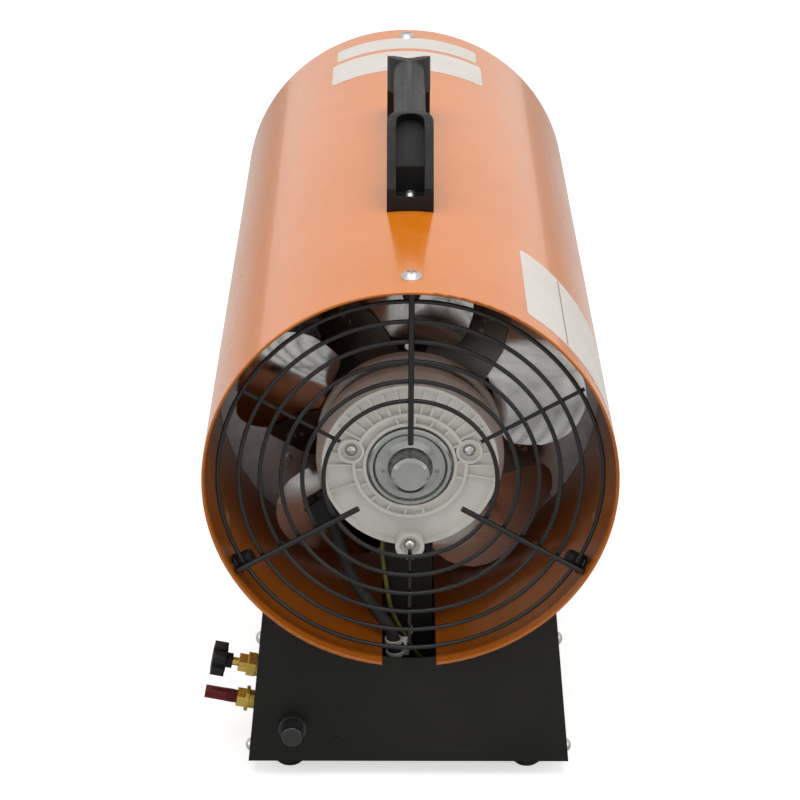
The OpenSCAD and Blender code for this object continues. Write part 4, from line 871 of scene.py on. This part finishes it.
        finish(
            "red_silicone",
            colour=(0.34, 0.030, 0.018),
            second=(0.22, 0.020, 0.012),
            rough=(0.46, 0.6),
            drift=(50.0, 0.2),
            grain=(1800.0, 0.5, 0.25, 0.0002),
            dust=(200.0, 0.25, grey_dust),
            edge=0,
        )
        finish(
            "cream_plastic",
            colour=(0.66, 0.60, 0.46),
            second=(0.56, 0.50, 0.38),
            rough=(0.36, 0.5),
            drift=(60.0, 0.2),
            grain=(1500.0, 0.5, 0.2, 0.0002),
            dust=(200.0, 0.25, grey_dust),
            edge=0.0005,
        )
        finish(
            "white_nylon",
            colour=(0.76, 0.75, 0.70),
            second=(0.66, 0.64, 0.58),
            rough=(0.30, 0.42),
            drift=(120.0, 0.2),
            grain=(1900.0, 0.5, 0.12, 0.0002),
            dust=(300.0, 0.2, grey_dust),
            edge=0.0002,
        )
        finish(
            "earth_stripe",
            colour=(0.07, 0.10, 0.012),
            second=(0.05, 0.08, 0.01),
            rough=(0.34, 0.46),
            drift=(80.0, 0.2),
            grain=(1900.0, 0.5, 0.12, 0.0002),
            pattern=(
                "Rolled Streaks",
                1.0,
                (0.9, (0.20, 0.17, 0.02), 0.02),
                0.1,
                (210, 60, 30),
                (0.5, 0.4, 0.2),
                (0, 0, 0),
            ),
            edge=0,
        )
        finish(
            "woven_sleeve",
            colour=(0.012, 0.012, 0.012),
            second=(0.030, 0.029, 0.028),
            rough=(0.46, 0.62),
            drift=(90.0, 0.2),
            grain=(1500.0, 0.4, 0.6, 0.0003),
            pattern=(
                "Zinc Spangle",
                900.0,
                (0.6, (0.05, 0.05, 0.048), 0.1),
                1.6,
                (1, 1, 1),
                (0, 0, 0),
                (0, 0, 0),
            ),
            dust=(240.0, 0.08, grey_dust),
            edge=0,
            specular=0.2,
        )
        finish(
            "heat_tinted_steel",
            colour=(0.40, 0.39, 0.38),
            second=(0.26, 0.215, 0.19),
            rough=(0.30, 0.48),
            metal=1.0,
            drift=(9.0, 0.16),
            grain=(1100.0, 0.5, 0.12, 0.0002),
            pattern=(
                "Zinc Spangle",
                210.0,
                (0.4, (0.52, 0.50, 0.50), 0.12),
                0.2,
                (1, 1, 1),
                (0, 0, 0),
                (0, 0, 0),
            ),
            scratches=(10.0, 0.4, (0.55, 0.55, 0.56)),
            dust=(120.0, 0.12, (0.16, 0.12, 0.10)),
            edge=0.0003,
        )
        paper = tuple(context.scene.heater_labels.paper)
        finish(
            "label_paper",
            colour=paper,
            second=tuple(c * 0.94 for c in paper),
            rough=(0.34, 0.46),
            drift=(40.0, 0.2),
            grain=(2400.0, 0.5, 0.06, 0.0001),
            scratches=(12.0, 0.3, (0.60, 0.50, 0.42)),
            edge=0,
            coat=0.15,
            coat_rough=0.3,
        )
        finish(
            "label_ink",
            colour=(0.20, 0.13, 0.12),
            second=(0.30, 0.2, 0.17),
            rough=(0.4, 0.5),
            drift=(200.0, 0.2),
            grain=(2400.0, 0.5, 0.05, 0.0001),
            edge=0,
        )
        table = {
            "orange_enamel": ["casing"],
            "black_powder_coat": [
                "base_tray",
                "base_rear_panel",
                "base_front_panel",
                "motor_bracket",
                "panel_rivet",
            ],
            "black_wire_coat": ["inlet_guard", "outlet_guard"],
            "cream_die_cast": ["motor_rear_bell", "motor_front_bell"],
            "turned_bright_steel": ["bearing_cap", "motor_bearings", "motor_shaft"],
            "zinc_plate": [
                "casing_screws",
                "motor_screws",
                "fan_rivets",
                "fan_nut",
                "handle_screws",
                "base_screws",
                "overheat_thermostat",
                "chamber_spacers",
            ],
            "dark_pressed_steel": ["fan_spider"],
            "stacked_laminations": ["motor_stator", "motor_rotor"],
            "drawn_copper": ["motor_windings", "gas_pipe", "thermocouple"],
            "polished_aluminium": ["fan_blades"],
            "galvanised_sheet": ["baffle_plate"],
            "heat_tinted_steel": ["combustion_chamber", "burner_plate"],
            "turned_brass": ["gas_valve_body", "safety_valve", "valve_spindle", "gas_injector"],
            "textured_black_plastic": [
                "handle",
                "guard_nuts",
                "valve_knob",
                "switch_housing",
                "mains_gland",
                "gland_nut",
                "cable_clamp",
            ],
            "glossy_black_plastic": ["igniter_body", "igniter_button"],
            "dark_red_plastic": ["inlet_cap", "switch_rocker"],
            "foot_rubber": ["feet"],
            "glazed_ceramic": ["ignition_electrode"],
            "red_silicone": ["hv_lead"],
            "cream_plastic": ["terminal_block"],
            "white_nylon": ["cable_ties"],
            "earth_stripe": ["earth_wire"],
            "woven_sleeve": ["conduit"],
        }
        for material, members in table.items():
            for node in members:
                dress(node, material)
        left = set(NODES) - {n for members in table.values() for n in members}
        if left:
            raise RuntimeError("parts with no finish: %s" % sorted(left))
        return {"FINISHED"}


def curved_label(name, place_and_size, material, lift, corner):
    """A thin label that follows the casing; its turns count from the top, to the right."""
    setback, length, first_turn, last_turn = place_and_size
    clear_selection()
    bpy.ops.mesh.primitive_grid_add(
        x_subdivisions=LABEL_GRID[0],
        y_subdivisions=LABEL_GRID[1],
        size=1.0,
        location=(0, 0, 0),
    )
    obj = bpy.context.view_layer.objects.active
    reach = CASING_RADIUS * MM + lift
    wide = math.radians(last_turn - first_turn) * reach
    long = length * MM
    round_off = corner * MM
    for v in obj.data.vertices:
        x, y = v.co.x * wide, v.co.y * long
        over_x, over_y = abs(x) - wide / 2 + round_off, abs(y) - long / 2 + round_off
        if over_x > 0 and over_y > 0:
            far = math.hypot(over_x, over_y)
            if far > round_off:
                x -= math.copysign(over_x * (1 - round_off / far), x)
                y -= math.copysign(over_y * (1 - round_off / far), y)
        turn = math.radians((first_turn + last_turn) / 2) + x / reach
        v.co = place(0, setback + length / 2, 0) + Vector((math.sin(turn) * reach, y, math.cos(turn) * reach))
    modifier(obj, "SOLIDIFY", thickness=lift * 0.8, offset=-1.0)
    return settle(obj, name, material, smooth=30.0)


class HEATER_OT_labels(bpy.types.Operator):
    """Sticks the blank labels on the casing"""

    bl_idname = "heater.labels"
    bl_label = "Labels"

    def execute(self, context):
        lift = context.scene.heater_labels.lift
        for name, place_and_size in LABELS.items():
            curved_label(name, place_and_size, "label_paper", lift, LABEL_CORNER)
        curved_label("side_label_rule", RULE, "label_ink", lift * 1.5, RULE_CORNER)
        return {"FINISHED"}


class HEATER_OT_handle(bpy.types.Operator):
    """Rounds the moulded handle's edges with a bevel and gives it its textured black finish"""

    bl_idname = "heater.handle"
    bl_label = "Handle"

    def execute(self, context):
        obj = copy_of("handle")
        modifier(
            obj,
            "BEVEL",
            width=0.0011,
            segments=BEVEL_STEPS,
            limit_method="ANGLE",
            angle_limit=BEVEL_ANGLE,
            use_clamp_overlap=True,
            harden_normals=False,
        )
        obj = settle(obj, "moulded_handle", "textured_black_plastic", smooth=32.0)
        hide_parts("handle")
        return {"FINISHED"}


CONDUIT_ROUTE = (
    (-57, 51, -33),
    (-52, 51, -39.5),
    (-47, 51, -46),
    (-40, 48, -62),
    (-32, 42, -82),
    (-19, 35, -98),
    (-10, 31.5, -110),
    (-8.6, 31, -118),
    (-8.2, 31.4, -127),
    (-2, 34, -141),
    (12, 40, -154),
    (26, 56, -161),
    (28, 76, -167),
    (24, 88, -172.5),
    (24, 92, -173),
    (24, 95.7, -173),
)
EARTH_ROUTE = (
    (-15.4, 52, -57),
    (-15.6, 48, -66),
    (-13.4, 45, -84),
    (-9.6, 44, -104),
    (-3, 44, -118),
    (8, 42, -134),
    (28, 48, -148),
    (40, 68, -162),
    (38, 86, -172.5),
    (37, 92, -173),
    (37, 95.7, -173),
)
# Each tail leaves its tie's head and curls forward over the rear panel
TIE_TAILS = (
    (
        (-4.6, 30.4, -116.2),
        (-2.0, 30.6, -115.0),
        (0.6, 34.0, -113.4),
        (1.4, 40.0, -113.0),
        (1.0, 45.0, -113.6),
    ),
    (
        (-3.9, 30.4, -124.2),
        (-1.6, 29.6, -122.4),
        (-0.8, 28.6, -119.4),
        (-2.0, 28.8, -116.8),
        (-3.6, 30.0, -114.8),
    ),
)


class HEATER_OT_leads(bpy.types.Operator):
    """Lays the motor lead and the earth wire as smooth rounds, and curls the tails of their ties"""

    bl_idname = "heater.leads"
    bl_label = "Leads"

    def execute(self, context):
        sleeve = tube(
            "motor_lead_sleeve",
            [place(*p) for p in CONDUIT_ROUTE],
            CONDUIT_RADIUS * MM,
            "woven_sleeve",
            sides=5,
        )
        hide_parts("conduit")
        wire = tube(
            "earth_lead",
            [place(*p) for p in EARTH_ROUTE],
            EARTH_RADIUS * MM,
            "earth_stripe",
            sides=3,
        )
        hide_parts("earth_wire")
        for number, route in enumerate(TIE_TAILS, 1):
            tube(
                "tie_tail_%d" % number,
                [place(*p) for p in route],
                TIE_TAIL_RADIUS * MM,
                "white_nylon",
                sides=2,
            )
        return {"FINISHED"}


class HEATER_OT_controls(bpy.types.Operator):
    """Rounds the moulded knob, the piezo button and the transport cap"""

    bl_idname = "heater.controls"
    bl_label = "Controls"

    def execute(self, context):
        for node, name, material, width in CONTROLS:
            obj = copy_of(node)
            modifier(
                obj,
                "BEVEL",
                width=width,
                segments=BEVEL_STEPS,
                limit_method="ANGLE",
                angle_limit=BEVEL_ANGLE,
                use_clamp_overlap=True,
            )
            obj = settle(obj, name, material, body=BODY_OF[node], smooth=32.0)
            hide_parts(node)
        return {"FINISHED"}


class HEATER_OT_studio(bpy.types.Operator):
    """Sets the floor, the soft lights, the white surroundings and the camera"""

    bl_idname = "heater.studio"
    bl_label = "Studio"

    def execute(self, context):
        s = context.scene.heater_studio
        scene = context.scene
        cam = bpy.data.cameras.new("camera")
        cam.sensor_width = SENSOR_WIDTH
        cam.lens = CAMERA_LENS
        eye = bpy.data.objects.new("camera", cam)
        scene.collection.objects.link(eye)
        pitch, yaw, roll = (math.radians(a) for a in CAMERA_TURNS)
        look = Vector((math.sin(yaw) * math.cos(pitch), math.cos(yaw) * math.cos(pitch), -math.sin(pitch)))
        right = Vector((math.cos(yaw), -math.sin(yaw), 0.0))
        up = right.cross(look)
        right, up = right * math.cos(roll) + up * math.sin(roll), up * math.cos(roll) - right * math.sin(roll)
        turn = Matrix((right, up, -look)).transposed()
        eye.matrix_world = Matrix.Translation(CAMERA_PLACE) @ turn.to_4x4()
        cam.clip_start, cam.clip_end = 0.05, 50.0
        scene.camera = eye
        scene.view_settings.view_transform = "Standard"

        clear_selection()
        bpy.ops.mesh.primitive_plane_add(size=FLOOR_SIZE, location=(0, 0, 0))
        floor = bpy.context.view_layer.objects.active
        floor.name = "studio_floor"
        mat = bpy.data.materials.new("studio_floor")
        mat.use_nodes = True
        mat.node_tree.nodes.clear()
        t = Tree(mat.node_tree)
        path = t.add("ShaderNodeLightPath")
        shader = t.add("ShaderNodeBsdfPrincipled")
        shader.inputs["Base Color"].default_value = (0.86, 0.86, 0.86, 1.0)
        shader.inputs["Roughness"].default_value = 0.85
        shader.inputs["Specular IOR Level"].default_value = 0.1
        t.feed(shader.inputs["Emission Color"], (1.0, 1.0, 1.0))
        t.feed(
            shader.inputs["Emission Strength"],
            t.math("MULTIPLY", path.outputs["Is Camera Ray"], FLOOR_GLOW),
        )
        t.feed(t.add("ShaderNodeOutputMaterial").inputs["Surface"], shader.outputs[0])
        floor.data.materials.append(mat)

        world = bpy.data.worlds.new("surroundings")
        scene.world = world
        world.use_nodes = True
        world.node_tree.nodes.clear()
        t = Tree(world.node_tree)
        path = t.add("ShaderNodeLightPath")
        seen = t.math("ADD", path.outputs["Is Camera Ray"], path.outputs["Is Glossy Ray"], clamp=True)
        seen = t.math("ADD", seen, path.outputs["Is Transmission Ray"], clamp=True)
        back = t.add("ShaderNodeBackground")
        back.inputs["Color"].default_value = (1.0, 1.0, 1.0, 1.0)
        t.feed(back.inputs["Strength"], t.blend(seen, s.world_level, 1.0))
        t.feed(t.add("ShaderNodeOutputWorld").inputs["Surface"], back.outputs[0])

        def soft_light(name, spot, size, power):
            lamp = bpy.data.lights.new(name, "AREA")
            lamp.shape = "RECTANGLE"
            lamp.size, lamp.size_y = size
            lamp.energy = power
            obj = bpy.data.objects.new(name, lamp)
            scene.collection.objects.link(obj)
            obj.location = spot
            obj.rotation_euler = (Vector(LIGHT_AIM) - Vector(spot)).to_track_quat("-Z", "Y").to_euler()

        left_spot = (-SIDE_LIGHT["spot"][0], *SIDE_LIGHT["spot"][1:])
        soft_light("overhead_light", OVERHEAD_LIGHT["spot"], OVERHEAD_LIGHT["size"], s.key_power)
        soft_light("left_light", left_spot, SIDE_LIGHT["size"], s.side_power)
        soft_light("right_light", SIDE_LIGHT["spot"], SIDE_LIGHT["size"], s.side_power)
        return {"FINISHED"}


OPERATORS = (
    HEATER_OT_finishes,
    HEATER_OT_labels,
    HEATER_OT_handle,
    HEATER_OT_leads,
    HEATER_OT_controls,
    HEATER_OT_studio,
)


class HEATER_PT_sidebar(bpy.types.Panel):
    """Lists the heater's pieces and settings"""

    bl_label = "Heater"
    bl_idname = "HEATER_PT_sidebar"
    bl_space_type = "VIEW_3D"
    bl_region_type = "UI"
    bl_category = "Heater"

    def draw(self, context):
        for group in (context.scene.heater_finish, context.scene.heater_labels, context.scene.heater_studio):
            box = self.layout.box()
            for name in group.__annotations__:
                box.prop(group, name)
        for operator in OPERATORS:
            self.layout.operator(operator.bl_idname)


SETTINGS = {"heater_finish": HeaterFinish, "heater_labels": HeaterLabels, "heater_studio": HeaterStudio}


def register():
    for item in (*SETTINGS.values(), *OPERATORS, HEATER_PT_sidebar):
        bpy.utils.register_class(item)
    for name, group in SETTINGS.items():
        setattr(bpy.types.Scene, name, PointerProperty(type=group))


def unregister():
    for name in SETTINGS:
        delattr(bpy.types.Scene, name)
    for item in reversed((*SETTINGS.values(), *OPERATORS, HEATER_PT_sidebar)):
        bpy.utils.unregister_class(item)


def main():
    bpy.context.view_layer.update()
    register()
    bpy.ops.heater.finishes()
    bpy.ops.heater.labels()
    bpy.ops.heater.handle()
    bpy.ops.heater.leads()
    bpy.ops.heater.controls()
    bpy.ops.heater.studio()


if __name__ == "__main__":
    main()
